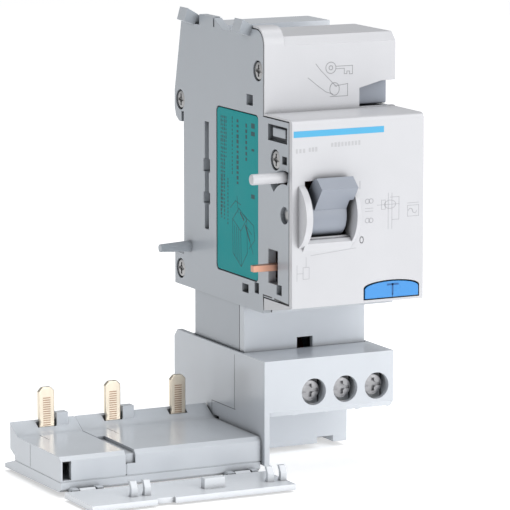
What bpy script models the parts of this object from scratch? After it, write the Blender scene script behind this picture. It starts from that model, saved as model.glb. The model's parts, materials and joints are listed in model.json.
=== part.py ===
"""Residual current add-on block, two modules wide, that docks beside a three-pole breaker.

A fixed housing clips on a 35 mm rail.  A sliding carriage with three outgoing terminals and a
three-blade tray hangs from the housing's neck; pushed up, its blades enter the breaker's terminals.
Frame: X across the width (the breaker docks on the -X side), Y from front to back, Z up.
Origin: middle of the width, on the rail's front face, at the rail's centre line.
"""
import math

import bmesh
import bpy
from mathutils import Matrix, Vector

for old in list(bpy.data.objects):
    bpy.data.objects.remove(old, do_unlink=True)

MM = 0.001

# ---- driving dimensions -------------------------------------------------------------------------
MODULE = 17.5 * MM              # width of one breaker pole
POLES = 3                       # poles of the breaker that the tray reaches under
BODY_WIDTH = 35.0 * MM
WINDOW_HEIGHT = 44.6 * MM       # front plate, which fills a 45 mm panel window
SHOULDER_DEPTH = 44.6 * MM      # rail to the shoulders
PLATE_DEPTH = 59.0 * MM         # rail to the front plate
BODY_TOP = 40.1 * MM
STRIP_TOP = BODY_TOP + 1.7 * MM  # raised strip beside the breaker
HOUSING_BOTTOM = -25.7 * MM
RAIL_HEIGHT = 35.0 * MM
RAIL_THICKNESS = 1.0 * MM
HOOK_DEPTH = 5.2 * MM           # how far the rail hooks reach behind the rail's front face
SLIDE_TRAVEL = 11.0 * MM

WALL = 1.6 * MM
SIDE_WALL = 2.0 * MM            # docking side, thick enough for the screw recesses
COVER_WALL = 1.5 * MM
THIN_LIP = 0.5 * MM             # cover's feather edge over the docking side
GAP = 0.3 * MM                  # between pieces that touch or run on each other

NECK_INSET = 1.1 * MM           # neck's sides, in from the body's sides
NECK_FRONT = -31.5 * MM
NECK_REAR = -4.0 * MM
NECK_STEP = -18.8 * MM          # the neck's rear part reaches lower than its front part
NECK_FRONT_BOTTOM = -38.9 * MM
NECK_REAR_BOTTOM = -45.0 * MM
NECK_WALL = 1.4 * MM

CARRIAGE_TOP = -37.4 * MM
BLOCK_BOTTOM = -51.5 * MM       # underside of the terminal block
BASE_BOTTOM = -64.4 * MM        # underside of the carriage's base and of the tray
BASE_FRONT = -20.5 * MM         # front of the base below the terminal block
CARRIAGE_WALL = 1.4 * MM
CARRIAGE_REAR = 5.9 * MM        # rear edge of the carriage's side walls

TERMINALS = 3
TERMINAL_PITCH = 8.55 * MM
TERMINAL_FIRST_X = -4.2 * MM
TERMINAL_Z = -45.8 * MM
TERMINAL_HOLE = 6.5 * MM        # diameter

TRAY_TOP = -55.9 * MM
TRAY_FRONT = -43.0 * MM
TRAY_REAR = -12.6 * MM
TRAY_WALL = 1.4 * MM
BLADE_Y = -14.2 * MM            # middle of the blades' thickness
BLADE_WIDTH = 4.2 * MM
BLADE_THICKNESS = 1.2 * MM
BLADE_HEIGHT = 11.0 * MM        # above the tray

FLAP_DEPTH = 17.4 * MM
FLAP_THICKNESS = 1.4 * MM

TOGGLE_Y = -55.0 * MM           # toggle's axis
TOGGLE_Z = -0.6 * MM
TOGGLE_X = -8.9 * MM            # middle of the barrel's width
TOGGLE_WIDTH = 10.0 * MM
HANDLE_INSET = 1.5 * MM         # from the barrel's left end to the handle
HANDLE_OVERHANG = 1.1 * MM      # past the barrel's right end
BARREL_RADIUS = 5.6 * MM
CHEEK_RADIUS = 8.4 * MM
CHEEK_THICKNESS = 1.7 * MM
CHEEK_THIN = 1.0 * MM            # the one at the right of the toggle

HALF = BODY_WIDTH / 2
LEFT = -HALF
RIGHT = HALF
SHOULDER = -SHOULDER_DEPTH
FRONT = -PLATE_DEPTH
PLATE_TOP = WINDOW_HEIGHT / 2
PLATE_BOTTOM = -WINDOW_HEIGHT / 2
RAIL_EDGE = RAIL_HEIGHT / 2 + GAP
INNER_LEFT = LEFT + SIDE_WALL           # inner face of the docking side
TUB_LEFT = INNER_LEFT + GAP             # left rim of the right-hand shell
TUB_RIGHT = RIGHT - WALL                # inner face of the right wall
TRAY_LEFT = LEFT - POLES * MODULE
ROUND = 28                              # sides of a small round piece

# ---- materials ----------------------------------------------------------------------------------


def material(name, colour, roughness, metallic=0.0):
    made = bpy.data.materials.new(name)
    made.use_nodes = True
    shader = made.node_tree.nodes["Principled BSDF"]
    shader.inputs["Base Color"].default_value = (*colour, 1.0)
    shader.inputs["Roughness"].default_value = roughness
    shader.inputs["Metallic"].default_value = metallic
    return made


GREY = material("grey_housing_plastic", (0.50, 0.53, 0.56), 0.35)
LIGHT_GREY = material("light_grey_plastic", (0.68, 0.71, 0.75), 0.35)
WHITE = material("white_cover_plastic", (0.80, 0.80, 0.83), 0.35)
TOGGLE_GREY = material("toggle_plastic", (0.30, 0.33, 0.37), 0.4)
BLUE = material("blue_button_plastic", (0.06, 0.33, 0.78), 0.35)
TEAL = material("teal_label_film", (0.02, 0.40, 0.36), 0.5)
STEEL = material("zinc_steel", (0.62, 0.62, 0.63), 0.3, 1.0)
COPPER = material("copper", (0.72, 0.42, 0.30), 0.35, 1.0)
BRASS = material("tinned_brass", (0.85, 0.76, 0.58), 0.3, 1.0)
DARK = material("dark_core", (0.08, 0.08, 0.09), 0.5)
AMBER = material("amber_winding", (0.60, 0.33, 0.10), 0.45)
BLACK = material("black_insulation", (0.03, 0.03, 0.03), 0.6)

# ---- building tools -----------------------------------------------------------------------------


def add_mesh(name, mesh_data, paint=None, axis=None):
    """Turn a bmesh into an object with outward faces, painted and hung on a joint's empty."""
    bmesh.ops.recalc_face_normals(mesh_data, faces=mesh_data.faces)
    mesh = bpy.data.meshes.new(name)
    mesh_data.to_mesh(mesh)
    mesh_data.free()
    made = bpy.data.objects.new(name, mesh)
    bpy.context.collection.objects.link(made)
    if paint:
        mesh.materials.append(paint)
    if axis:
        hang(made, axis)
    return made


def hang(made, axis):
    """Parent a piece to its joint's empty without moving it."""
    made.parent = axis
    made.matrix_parent_inverse = Matrix.Translation(-Vector(axis["at"]))


def joint_axis(name, at, parent=None):
    """An empty that stands on a joint's axis."""
    empty = bpy.data.objects.new(name, None)
    bpy.context.collection.objects.link(empty)
    empty["at"] = at
    empty.location = at
    empty.empty_display_size = 5 * MM
    if parent:
        hang(empty, parent)
    return empty


def place(axis, low, point):
    """A point given as its run along the axis and its two other coordinates."""
    first, second = point
    if axis == "X":
        return (low, first, second)
    if axis == "Y":
        return (first, low, second)
    return (first, second, low)


def prism(name, axis, outline, low, high, paint=None, hung=None):
    """Extrude an outline, given in the two other axes, from low to high along an axis."""
    made = bmesh.new()
    corners = [made.verts.new(place(axis, low, point)) for point in outline]
    face = made.faces.new(corners)
    grown = bmesh.ops.extrude_face_region(made, geom=[face])
    moved = [item for item in grown["geom"] if isinstance(item, bmesh.types.BMVert)]
    bmesh.ops.translate(made, verts=moved, vec=place(axis, high - low, (0, 0)))
    return add_mesh(name, made, paint, hung)


def block(name, low, high, paint=None, hung=None):
    """A box between two corners."""
    outline = [(low[0], low[1]), (high[0], low[1]), (high[0], high[1]), (low[0], high[1])]
    return prism(name, "Z", outline, low[2], high[2], paint, hung)


def circle(centre, radius, sides=ROUND, start=0.0, sweep=2 * math.pi):
    """Points round an arc, without the last one where it closes."""
    closed = abs(sweep - 2 * math.pi) < 1e-9
    count = sides if closed else sides - 1
    turns = [start + sweep * step / count for step in range(sides)]
    return [(centre[0] + radius * math.cos(a), centre[1] + radius * math.sin(a)) for a in turns]


def rod(name, axis, centre, radius, low, high, paint=None, hung=None, sides=ROUND):
    """A round bar along an axis; centre is given in the two other axes."""
    made = prism(name, axis, circle(centre, radius, sides), low, high, paint, hung)
    made.data.shade_smooth()
    made.data.set_sharp_from_angle(angle=math.radians(35))
    return made


def combine(target, tool, operation):
    tool.hide_render = True
    tool.display_type = "WIRE"
    tool.parent = target
    change = target.modifiers.new(tool.name, "BOOLEAN")
    change.operation = operation
    change.solver = "EXACT"
    change.object = tool


def carve(target, *tools):
    for tool in tools:
        combine(target, tool, "DIFFERENCE")


def join(target, *tools):
    for tool in tools:
        combine(target, tool, "UNION")


def coil(name, axis, centre, radius, wire, low, high, turns, paint, hung=None):
    """A compression spring: a round wire along a helix."""
    steps = turns * 10
    curve = bpy.data.curves.new(name, "CURVE")
    curve.dimensions = "3D"
    curve.bevel_depth = wire / 2
    curve.bevel_resolution = 1
    curve.use_fill_caps = True
    line = curve.splines.new("POLY")
    line.points.add(steps)
    rise = (high - low - wire) / steps
    for step in range(steps + 1):
        angle = 2 * math.pi * step / 10
        across = (centre[0] + radius * math.cos(angle), centre[1] + radius * math.sin(angle))
        spot = place(axis, low + wire / 2 + rise * step, across)
        line.points[step].co = (*spot, 1.0)
    curve.materials.append(paint)
    made = bpy.data.objects.new(name, curve)
    bpy.context.collection.objects.link(made)
    if hung:
        hang(made, hung)
    return made


def tube(name, points, radius, paint, hung=None):
    """A round conductor through a list of points."""
    curve = bpy.data.curves.new(name, "CURVE")
    curve.dimensions = "3D"
    curve.bevel_depth = radius
    curve.bevel_resolution = 1
    curve.use_fill_caps = True
    line = curve.splines.new("POLY")
    line.points.add(len(points) - 1)
    for spot, point in zip(line.points, points):
        spot.co = (*point, 1.0)
    curve.materials.append(paint)
    made = bpy.data.objects.new(name, curve)
    bpy.context.collection.objects.link(made)
    if hung:
        hang(made, hung)
    return made


# ---- joint axes ---------------------------------------------------------------------------------

FLAP_AXIS_Y = TRAY_FRONT - 1.5 * MM
FLAP_AXIS_Z = BASE_BOTTOM + 0.1 * MM
LEVER_PIVOT_Y = -37.0 * MM
LEVER_Z = -13.7 * MM

carriage_axis = joint_axis("carriage_axis", (0, NECK_REAR, CARRIAGE_TOP))
flap_axis = joint_axis("flap_axis", (0, FLAP_AXIS_Y, FLAP_AXIS_Z), carriage_axis)
toggle_axis = joint_axis("toggle_axis", (TOGGLE_X, TOGGLE_Y, TOGGLE_Z))
link_axis = joint_axis("link_axis", (LEFT, TOGGLE_Y, TOGGLE_Z))
lever_axis = joint_axis("lever_axis", (LEFT, LEVER_PIVOT_Y, LEVER_Z))

# ---- housing: docking side ----------------------------------------------------------------------

CORNER = 3.5 * MM
BOSS_TOP = 22.6 * MM
LIP_BOTTOM = 15.2 * MM
SLOPE_START = 1.3 * MM
PLATE_INNER = FRONT + COVER_WALL + GAP          # front face of the shells behind the plate
UPPER_INNER = SHOULDER + COVER_WALL + GAP
RAIL_SLOT_REAR = RAIL_THICKNESS + GAP


def rail_side(top):
    """Rear outline from the top down to the foot, round the rail."""
    return [
        (SLOPE_START, top),
        (HOOK_DEPTH, BOSS_TOP),
        (HOOK_DEPTH, LIP_BOTTOM + 3.3 * MM),
        (HOOK_DEPTH - 0.8 * MM, LIP_BOTTOM + 1.1 * MM),
        (HOOK_DEPTH - 2.6 * MM, LIP_BOTTOM),
        (RAIL_SLOT_REAR, LIP_BOTTOM),
        (RAIL_SLOT_REAR, RAIL_EDGE),
        (0, RAIL_EDGE),
        (0, -RAIL_EDGE),
        (HOOK_DEPTH, -RAIL_EDGE),
        (HOOK_DEPTH, HOUSING_BOTTOM),
    ]


LIP_FRONT = SHOULDER + THIN_LIP + GAP           # docking side's front edge, behind the feather edge
side_front = FRONT + COVER_WALL + GAP
STRIP_REAR = -30.0 * MM
COVER_FOOT_Y = -44.0 * MM
SKIRT_TOP = PLATE_BOTTOM + 0.7 * MM
side_outline = [
    (side_front, SKIRT_TOP),
    (side_front, PLATE_TOP - THIN_LIP - GAP),
    (LIP_FRONT, PLATE_TOP - THIN_LIP - GAP),
    *reversed(circle((LIP_FRONT + CORNER, STRIP_TOP - CORNER), CORNER, 7, math.pi / 2, math.pi / 2)),
    (STRIP_REAR, STRIP_TOP),
    (STRIP_REAR + 3.5 * MM, BODY_TOP),
    *rail_side(BODY_TOP),
    (COVER_FOOT_Y, HOUSING_BOTTOM),
    (COVER_FOOT_Y, SKIRT_TOP),
]
left_shell = prism("left_shell", "X", side_outline, LEFT, INNER_LEFT, GREY)

NECK_LEFT = LEFT + NECK_INSET
NECK_RIGHT = RIGHT - NECK_INSET
NECK_SEAM_Y = NECK_FRONT + 2.5 * MM             # the neck's corner strip belongs to the other shell
neck_wall_outline = [
    (NECK_SEAM_Y + GAP, HOUSING_BOTTOM + WALL),
    (NECK_REAR, HOUSING_BOTTOM + WALL),
    (NECK_REAR, NECK_REAR_BOTTOM),
    (NECK_STEP, NECK_REAR_BOTTOM),
    (NECK_STEP, NECK_FRONT_BOTTOM),
    (NECK_SEAM_Y + GAP, NECK_FRONT_BOTTOM),
]
join(left_shell, prism("neck_wall_form", "X", neck_wall_outline, NECK_LEFT, INNER_LEFT))

# docking claws: slanted hooks that reach over the breaker's edge
CLAW_REACH = 3.0 * MM
CLAW_LENGTH = 4.3 * MM
CLAW_LEAN = 3.2 * MM
CLAW_SPOTS = (-1.2 * MM, -31.5 * MM)


def claw(name, rear):
    """A hook with a sloping top, sheared so that its upper end leans to the front."""
    outline = [(INNER_LEFT, BODY_TOP - 1.5 * MM), (LEFT, BODY_TOP - 0.2 * MM),
               (LEFT - CLAW_REACH, BODY_TOP + 0.9 * MM), (LEFT - CLAW_REACH, BODY_TOP + 4.2 * MM),
               (LEFT, BODY_TOP + 2.6 * MM), (INNER_LEFT, BODY_TOP + 1.2 * MM)]
    made = prism(name, "Y", outline, rear - CLAW_LENGTH, rear)
    foot = BODY_TOP - 1.5 * MM
    height = 5.7 * MM
    for vertex in made.data.vertices:
        vertex.co.y -= CLAW_LEAN * (vertex.co.z - foot) / height
    return made


for number, rear in enumerate(CLAW_SPOTS, 1):
    join(left_shell, claw(f"claw_form_{number}", rear))

# lead-in ramp between the claws, split by a slit
RAMP_REAR = -9.0 * MM
RAMP_FRONT = -22.0 * MM
RAMP_HEIGHT = 2.6 * MM
ramp_outline = [(RAMP_REAR, BODY_TOP - 1.0 * MM), (RAMP_REAR, BODY_TOP + RAMP_HEIGHT),
                (RAMP_FRONT + 5 * MM, BODY_TOP + RAMP_HEIGHT), (RAMP_FRONT, BODY_TOP),
                (RAMP_FRONT, BODY_TOP - 1.0 * MM)]
ramp = prism("ramp_form", "X", ramp_outline, LEFT, INNER_LEFT)
join(left_shell, ramp)
carve(left_shell, block("ramp_slit", (LEFT - WALL, RAMP_FRONT + 4.6 * MM, BODY_TOP + 0.2 * MM),
                        (INNER_LEFT + WALL, RAMP_FRONT + 5.3 * MM, STRIP_TOP + WALL)))

# round locating pin, tapered, with a collar at its root
LOCATOR_Y = -3.4 * MM
LOCATOR_Z = -15.3 * MM
LOCATOR_REACH = 8.2 * MM
locator = bmesh.new()
bmesh.ops.create_cone(locator, segments=20, cap_ends=True, radius1=1.5 * MM, radius2=1.0 * MM,
                      depth=LOCATOR_REACH + WALL)
pin_place = Matrix.Translation((LEFT - (LOCATOR_REACH - WALL) / 2, LOCATOR_Y, LOCATOR_Z))
locator.transform(pin_place @ Matrix.Rotation(-math.pi / 2, 4, "Y"))
join(left_shell, add_mesh("locator_form", locator))

# recesses for the four housing screws
SCREW_SPOTS = ((-41.0 * MM, 32.1 * MM), (1.9 * MM, 20.6 * MM), (-50.3 * MM, 12.0 * MM),
               (1.9 * MM, -21.6 * MM))
SCREW_RECESS = 2.5 * MM
SCREW_RECESS_DEPTH = 1.2 * MM
SCREW_HEAD = 2.2 * MM
SCREW_SHANK = 0.9 * MM
SCREW_END = INNER_LEFT + 8.0 * MM
BOSS_RADIUS = 1.75 * MM
for number, spot in enumerate(SCREW_SPOTS, 1):
    recess = rod(f"screw_recess_{number}", "X", spot, SCREW_RECESS, LEFT - WALL,
                 LEFT + SCREW_RECESS_DEPTH)
    through = rod(f"screw_hole_{number}", "X", spot, SCREW_SHANK + GAP, LEFT - WALL,
                  INNER_LEFT + WALL)
    carve(left_shell, recess, through)

# openings in the docking side: name, (front y, low z), (rear y, high z)
SIDE_OPENINGS = (
    ("upper_square_hole", (-38.3, 23.4), (-34.9, 26.0)),
    ("lower_square_hole", (-36.0, -22.1), (-32.6, -20.0)),
    ("long_slot", (-14.2, -9.7), (-11.9, 16.8)),
    ("upper_slot_bulge", (-14.9, 4.4), (-11.2, 7.7)),
    ("lower_slot_bulge", (-14.9, -3.4), (-11.2, -0.6)),
    ("corner_recess", (-53.6, -20.0), (-50.9, -17.6)),
)
for name, low, high in SIDE_OPENINGS:
    carve(left_shell, block(name, (LEFT - WALL, low[0] * MM, low[1] * MM),
                            (INNER_LEFT + WALL, high[0] * MM, high[1] * MM)))
POCKET_DEPTH = 1.1 * MM
SIDE_POCKETS = (
    ("latch_pocket", (-56.3, 16.3), (-46.4, 20.2)),
    ("small_pocket", (-56.3, 11.4), (-53.8, 13.3)),
    ("rest_pocket", (-41.6, -21.4), (-39.3, -18.8)),
)
for name, low, high in SIDE_POCKETS:
    carve(left_shell, block(name, (LEFT - WALL, low[0] * MM, low[1] * MM),
                            (LEFT + POCKET_DEPTH, high[0] * MM, high[1] * MM)))
SHAFT_RADIUS = 1.0 * MM
carve(left_shell, rod("shaft_pocket", "X", (TOGGLE_Y, TOGGLE_Z), 2.1 * MM, LEFT - WALL,
                      LEFT + POCKET_DEPTH))
carve(left_shell, rod("shaft_bore", "X", (TOGGLE_Y, TOGGLE_Z), SHAFT_RADIUS + GAP, LEFT - WALL,
                      INNER_LEFT + WALL))

# trip lever slot
LEVER_SLOT_FRONT = -51.6 * MM
LEVER_SLOT_REAR = -46.6 * MM
LEVER_SLOT_HALF = 4.1 * MM
carve(left_shell, block("lever_slot", (LEFT - WALL, LEVER_SLOT_FRONT, LEVER_Z - LEVER_SLOT_HALF),
                        (INNER_LEFT + WALL, LEVER_SLOT_REAR, LEVER_Z + LEVER_SLOT_HALF)))

# curved slot that the link pin travels along, about the toggle's axis
LINK_RADIUS = 9.0 * MM
LINK_REST = math.radians(89)            # the pin's place round the axis, from +Y towards +Z
LINK_SWING = math.radians(-36)
PIN_RADIUS = 1.3 * MM
slot_half = PIN_RADIUS + GAP
ease = 0.06                             # radians left past each end of the pin's travel
slot_outer = circle((TOGGLE_Y, TOGGLE_Z), LINK_RADIUS + slot_half, 9, LINK_REST + ease + 0.15,
                    LINK_SWING - 2 * ease - 0.3)
slot_inner = circle((TOGGLE_Y, TOGGLE_Z), LINK_RADIUS - slot_half, 9, LINK_REST + ease + 0.15,
                    LINK_SWING - 2 * ease - 0.3)
carve(left_shell, prism("link_slot", "X", slot_outer + slot_inner[::-1], LEFT - WALL,
                        INNER_LEFT + WALL))

# ---- housing: right-hand shell ------------------------------------------------------------------

VALLEY_FRONT = -23.5 * MM
VALLEY_REAR = -10.6 * MM
VALLEY_FLOOR = 33.0 * MM
tub_outline = [
    (PLATE_INNER, PLATE_BOTTOM + COVER_WALL + GAP),
    (PLATE_INNER, PLATE_TOP - COVER_WALL - GAP),
    (UPPER_INNER, PLATE_TOP - COVER_WALL - GAP),
    (UPPER_INNER, BODY_TOP - COVER_WALL - GAP - MM),
    (UPPER_INNER + MM, BODY_TOP - COVER_WALL - GAP),
    (VALLEY_FRONT - GAP, BODY_TOP - COVER_WALL - GAP),
    (VALLEY_FRONT - GAP, VALLEY_FLOOR),
    (VALLEY_REAR, VALLEY_FLOOR),
    (VALLEY_REAR, BODY_TOP - 0.3 * MM),
    *rail_side(BODY_TOP - 0.3 * MM),
    (COVER_FOOT_Y, HOUSING_BOTTOM),
    (COVER_FOOT_Y, PLATE_BOTTOM + COVER_WALL + GAP),
]
right_shell = prism("right_shell", "X", tub_outline, TUB_LEFT, RIGHT, LIGHT_GREY)

FLOOR_TOP = HOUSING_BOTTOM + WALL
cavity_outline = [
    (PLATE_INNER + WALL, PLATE_BOTTOM + COVER_WALL + GAP + WALL),
    (PLATE_INNER + WALL, PLATE_TOP - COVER_WALL - GAP - WALL),
    (UPPER_INNER + WALL, PLATE_TOP - COVER_WALL - GAP - WALL),
    (UPPER_INNER + WALL, BODY_TOP - COVER_WALL - GAP - WALL),
    (VALLEY_FRONT - WALL, BODY_TOP - COVER_WALL - GAP - WALL),
    (VALLEY_FRONT - WALL, VALLEY_FLOOR - WALL),
    (-WALL, VALLEY_FLOOR - WALL),
    (-WALL, FLOOR_TOP + 4.0 * MM),
    (COVER_FOOT_Y + WALL, FLOOR_TOP + 4.0 * MM),
    (COVER_FOOT_Y + WALL, PLATE_BOTTOM + COVER_WALL + GAP + WALL),
]
neck_outline = [
    (NECK_FRONT, FLOOR_TOP),
    (NECK_REAR, FLOOR_TOP),
    (NECK_REAR, NECK_REAR_BOTTOM),
    (NECK_STEP, NECK_REAR_BOTTOM),
    (NECK_STEP, NECK_FRONT_BOTTOM),
    (NECK_FRONT, NECK_FRONT_BOTTOM),
]
join(right_shell, prism("neck_form", "X", neck_outline, TUB_LEFT, NECK_RIGHT))
join(right_shell, block("neck_strip_form", (NECK_LEFT, NECK_FRONT, NECK_FRONT_BOTTOM),
                        (NECK_LEFT + 3 * MM, NECK_SEAM_Y, HOUSING_BOTTOM - GAP)))
carve(right_shell, prism("cavity", "X", cavity_outline, TUB_LEFT - WALL, TUB_RIGHT))
carve(right_shell, block("neck_bore", (INNER_LEFT, NECK_FRONT + NECK_WALL,
                                       NECK_REAR_BOTTOM - WALL),
                         (NECK_RIGHT - NECK_WALL, NECK_REAR - NECK_WALL, FLOOR_TOP + 5 * MM)))
WINDOW_HALF = 2.15 * MM
carve(right_shell, block("neck_window", (-WINDOW_HALF, NECK_FRONT - WALL, -38.0 * MM),
                         (WINDOW_HALF, NECK_FRONT + 2 * WALL, -34.8 * MM)))

# screw bosses in the shell, and their pilot holes
for number, spot in enumerate(SCREW_SPOTS, 1):
    if number in (1, 3):
        join(right_shell, rod(f"screw_boss_{number}", "X", spot, BOSS_RADIUS, TUB_LEFT,
                              RIGHT - WALL / 2))
    carve(right_shell, rod(f"pilot_hole_{number}", "X", spot, SCREW_SHANK + GAP,
                           TUB_LEFT - WALL, SCREW_END + GAP))
for number, (y, z) in enumerate(SCREW_SPOTS, 1):
    screw = rod(f"housing_screw_{number}", "X", (y, z), SCREW_SHANK, LEFT + 0.5 * MM, SCREW_END, STEEL)
    join(screw, rod(f"screw_head_{number}", "X", (y, z), SCREW_HEAD, LEFT + 0.2 * MM,
                    LEFT + SCREW_RECESS_DEPTH - GAP))
    for turn, name in ((0, "a"), (1, "b")):
        half = [SCREW_HEAD * 0.75, 0.35 * MM]
        reach_y, reach_z = half if turn == 0 else half[::-1]
        carve(screw, block(f"screw_cross_{number}_{name}",
                           (LEFT - WALL, y - reach_y, z - reach_z),
                           (LEFT + 0.6 * MM, y + reach_y, z + reach_z)))

# ---- white front cover --------------------------------------------------------------------------

CHAMFER = 2.0 * MM
STRIP_RIGHT = LEFT + 5.2 * MM
FRONT_ROUND = 1.2 * MM


def cover_outline(wall, top_rear):
    """The cover's section: plate, shoulder, upper face and top, with one wall thickness."""
    return [
        (COVER_FOOT_Y - GAP, HOUSING_BOTTOM + 0.8 * MM),
        (FRONT, PLATE_BOTTOM),
        (FRONT, PLATE_TOP - FRONT_ROUND),
        (FRONT + 0.3 * FRONT_ROUND, PLATE_TOP - 0.3 * FRONT_ROUND),
        (FRONT + FRONT_ROUND, PLATE_TOP),
        (SHOULDER, PLATE_TOP),
        (SHOULDER, BODY_TOP - CHAMFER),
        (SHOULDER + CHAMFER, BODY_TOP),
        (top_rear, BODY_TOP),
        (top_rear, BODY_TOP - wall),
        (SHOULDER + CHAMFER, BODY_TOP - wall),
        (SHOULDER + wall, BODY_TOP - CHAMFER),
        (SHOULDER + wall, PLATE_TOP - wall),
        (FRONT + COVER_WALL, PLATE_TOP - wall),
        (FRONT + COVER_WALL, PLATE_BOTTOM + 0.4 * MM),
        (COVER_FOOT_Y - GAP, PLATE_BOTTOM + 0.4 * MM),
    ]


front_cover = prism("front_cover", "X", cover_outline(COVER_WALL, VALLEY_FRONT), TUB_LEFT, RIGHT, WHITE)
plate_lip = [
    (COVER_FOOT_Y - GAP, HOUSING_BOTTOM + 0.8 * MM),
    (FRONT, PLATE_BOTTOM),
    (FRONT, PLATE_TOP - FRONT_ROUND),
    (FRONT + 0.3 * FRONT_ROUND, PLATE_TOP - 0.3 * FRONT_ROUND),
    (FRONT + FRONT_ROUND, PLATE_TOP),
    (SHOULDER, PLATE_TOP),
    (SHOULDER, BODY_TOP - CHAMFER),
    (SHOULDER + THIN_LIP, BODY_TOP - CHAMFER),
    (SHOULDER + THIN_LIP, PLATE_TOP - THIN_LIP),
    (FRONT + COVER_WALL, PLATE_TOP - THIN_LIP),
    (FRONT + COVER_WALL, PLATE_BOTTOM + 0.4 * MM),
    (COVER_FOOT_Y - GAP, PLATE_BOTTOM + 0.4 * MM),
]
join(front_cover, prism("plate_lip_form", "X", plate_lip, LEFT, TUB_LEFT + WALL))

strip_centre = (LIP_FRONT + CORNER, STRIP_TOP - CORNER)
strip_radius = CORNER + GAP + THIN_LIP
strip_rear = strip_centre[0] + 2 * MM
strip_top = strip_centre[1] + strip_radius
strip_foot = BODY_TOP - CHAMFER - MM
outer_arc = circle(strip_centre, strip_radius, 9, math.pi, -math.pi / 2)
inner_arc = circle(strip_centre, CORNER + GAP, 9, math.pi / 2, math.pi / 2)
strip_lip = [(SHOULDER, strip_foot), *outer_arc, (strip_rear, strip_top),
             (strip_rear, strip_top - THIN_LIP), *inner_arc, (SHOULDER + THIN_LIP, strip_foot)]
join(front_cover, prism("strip_lip_form", "X", strip_lip, LEFT, TUB_LEFT + WALL))
strip_solid = [(SHOULDER, strip_foot), *outer_arc, (strip_rear, strip_top),
               (strip_rear, BODY_TOP - MM), (SHOULDER + CHAMFER, BODY_TOP - MM),
               (SHOULDER + MM, strip_foot)]
join(front_cover, prism("strip_form", "X", strip_solid, TUB_LEFT, STRIP_RIGHT))

# cheeks that guard the toggle, the ledge below it and its opening
toggle_low = TOGGLE_X - TOGGLE_WIDTH / 2
toggle_high = TOGGLE_X + TOGGLE_WIDTH / 2
opening_low = toggle_low - GAP
opening_high = toggle_high + HANDLE_OVERHANG + GAP
ledge_outline = [(FRONT + MM, TOGGLE_Z - 8.4 * MM), (FRONT, TOGGLE_Z - 8.4 * MM),
                 (FRONT - 1.4 * MM, TOGGLE_Z - 6.3 * MM), (FRONT - 0.9 * MM, TOGGLE_Z - 5.5 * MM),
                 (FRONT + MM, TOGGLE_Z - 5.2 * MM)]
join(front_cover, prism("ledge_form", "X", ledge_outline, opening_low - MM / 2, opening_high + MM / 2))
cheek_spans = ((opening_low - CHEEK_THICKNESS, opening_low), (opening_high, opening_high + CHEEK_THIN))
for number, (low, high) in enumerate(cheek_spans, 1):
    arc = circle((TOGGLE_Y, TOGGLE_Z), CHEEK_RADIUS, 25, math.pi / 2, math.pi)
    cheek = [point for point in arc if point[0] < FRONT + MM]
    join(front_cover, prism(f"cheek_form_{number}", "X", cheek, low, high))
OPENING_TOP = TOGGLE_Z + 8.4 * MM
OPENING_BOTTOM = TOGGLE_Z - 5.0 * MM
carve(front_cover, block("toggle_opening", (opening_low, FRONT - 6 * MM, OPENING_BOTTOM),
                         (opening_high, FRONT + 2 * COVER_WALL, OPENING_TOP)),
      rod("barrel_room", "X", (TOGGLE_Y, TOGGLE_Z), BARREL_RADIUS + GAP, opening_low, opening_high))
MECHANISM_REAR = -50.0 * MM
MECHANISM_TOP = TOGGLE_Z + LINK_RADIUS + 3.0 * MM
SPRING_WIDTH = 2.6 * MM
rib_low = toggle_high + SPRING_WIDTH + 2 * GAP
rib_high = rib_low + WALL
carve(right_shell, block("mechanism_bay", (TUB_LEFT - WALL, PLATE_INNER - WALL, TOGGLE_Z - BARREL_RADIUS - 2 * MM),
                         (rib_low, MECHANISM_REAR, MECHANISM_TOP)))
join(right_shell, block("shaft_rib_form", (rib_low, PLATE_INNER + 0.4 * MM, TOGGLE_Z - 4.0 * MM),
                        (rib_high, TOGGLE_Y + 3.0 * MM, TOGGLE_Z + 4.0 * MM)))
carve(right_shell, rod("rib_bore", "X", (TOGGLE_Y, TOGGLE_Z), SHAFT_RADIUS + GAP, rib_low - WALL,
                       rib_high + WALL))

# test button's arched opening, and the lock button's notch, which is open to the right
TEST_LEFT = 1.8 * MM
TEST_RIGHT = 16.2 * MM
TEST_BOTTOM = PLATE_BOTTOM + 0.9 * MM
TEST_TOP = TEST_BOTTOM + 3.9 * MM
TEST_SIDE = 1.6 * MM


def test_arch(grow):
    """Flat-bottomed arch of the test button, grown by a clearance."""
    low, high = TEST_LEFT - grow, TEST_RIGHT + grow
    bottom, top = TEST_BOTTOM - grow, TEST_TOP + grow
    middle = (low + high) / 2
    turns = [math.pi * step / 12 for step in range(13)]
    crown = [(middle + (high - middle) * math.cos(a), top - TEST_SIDE + TEST_SIDE * math.sin(a))
             for a in turns]
    return [(low, bottom), (high, bottom), *crown]


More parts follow.
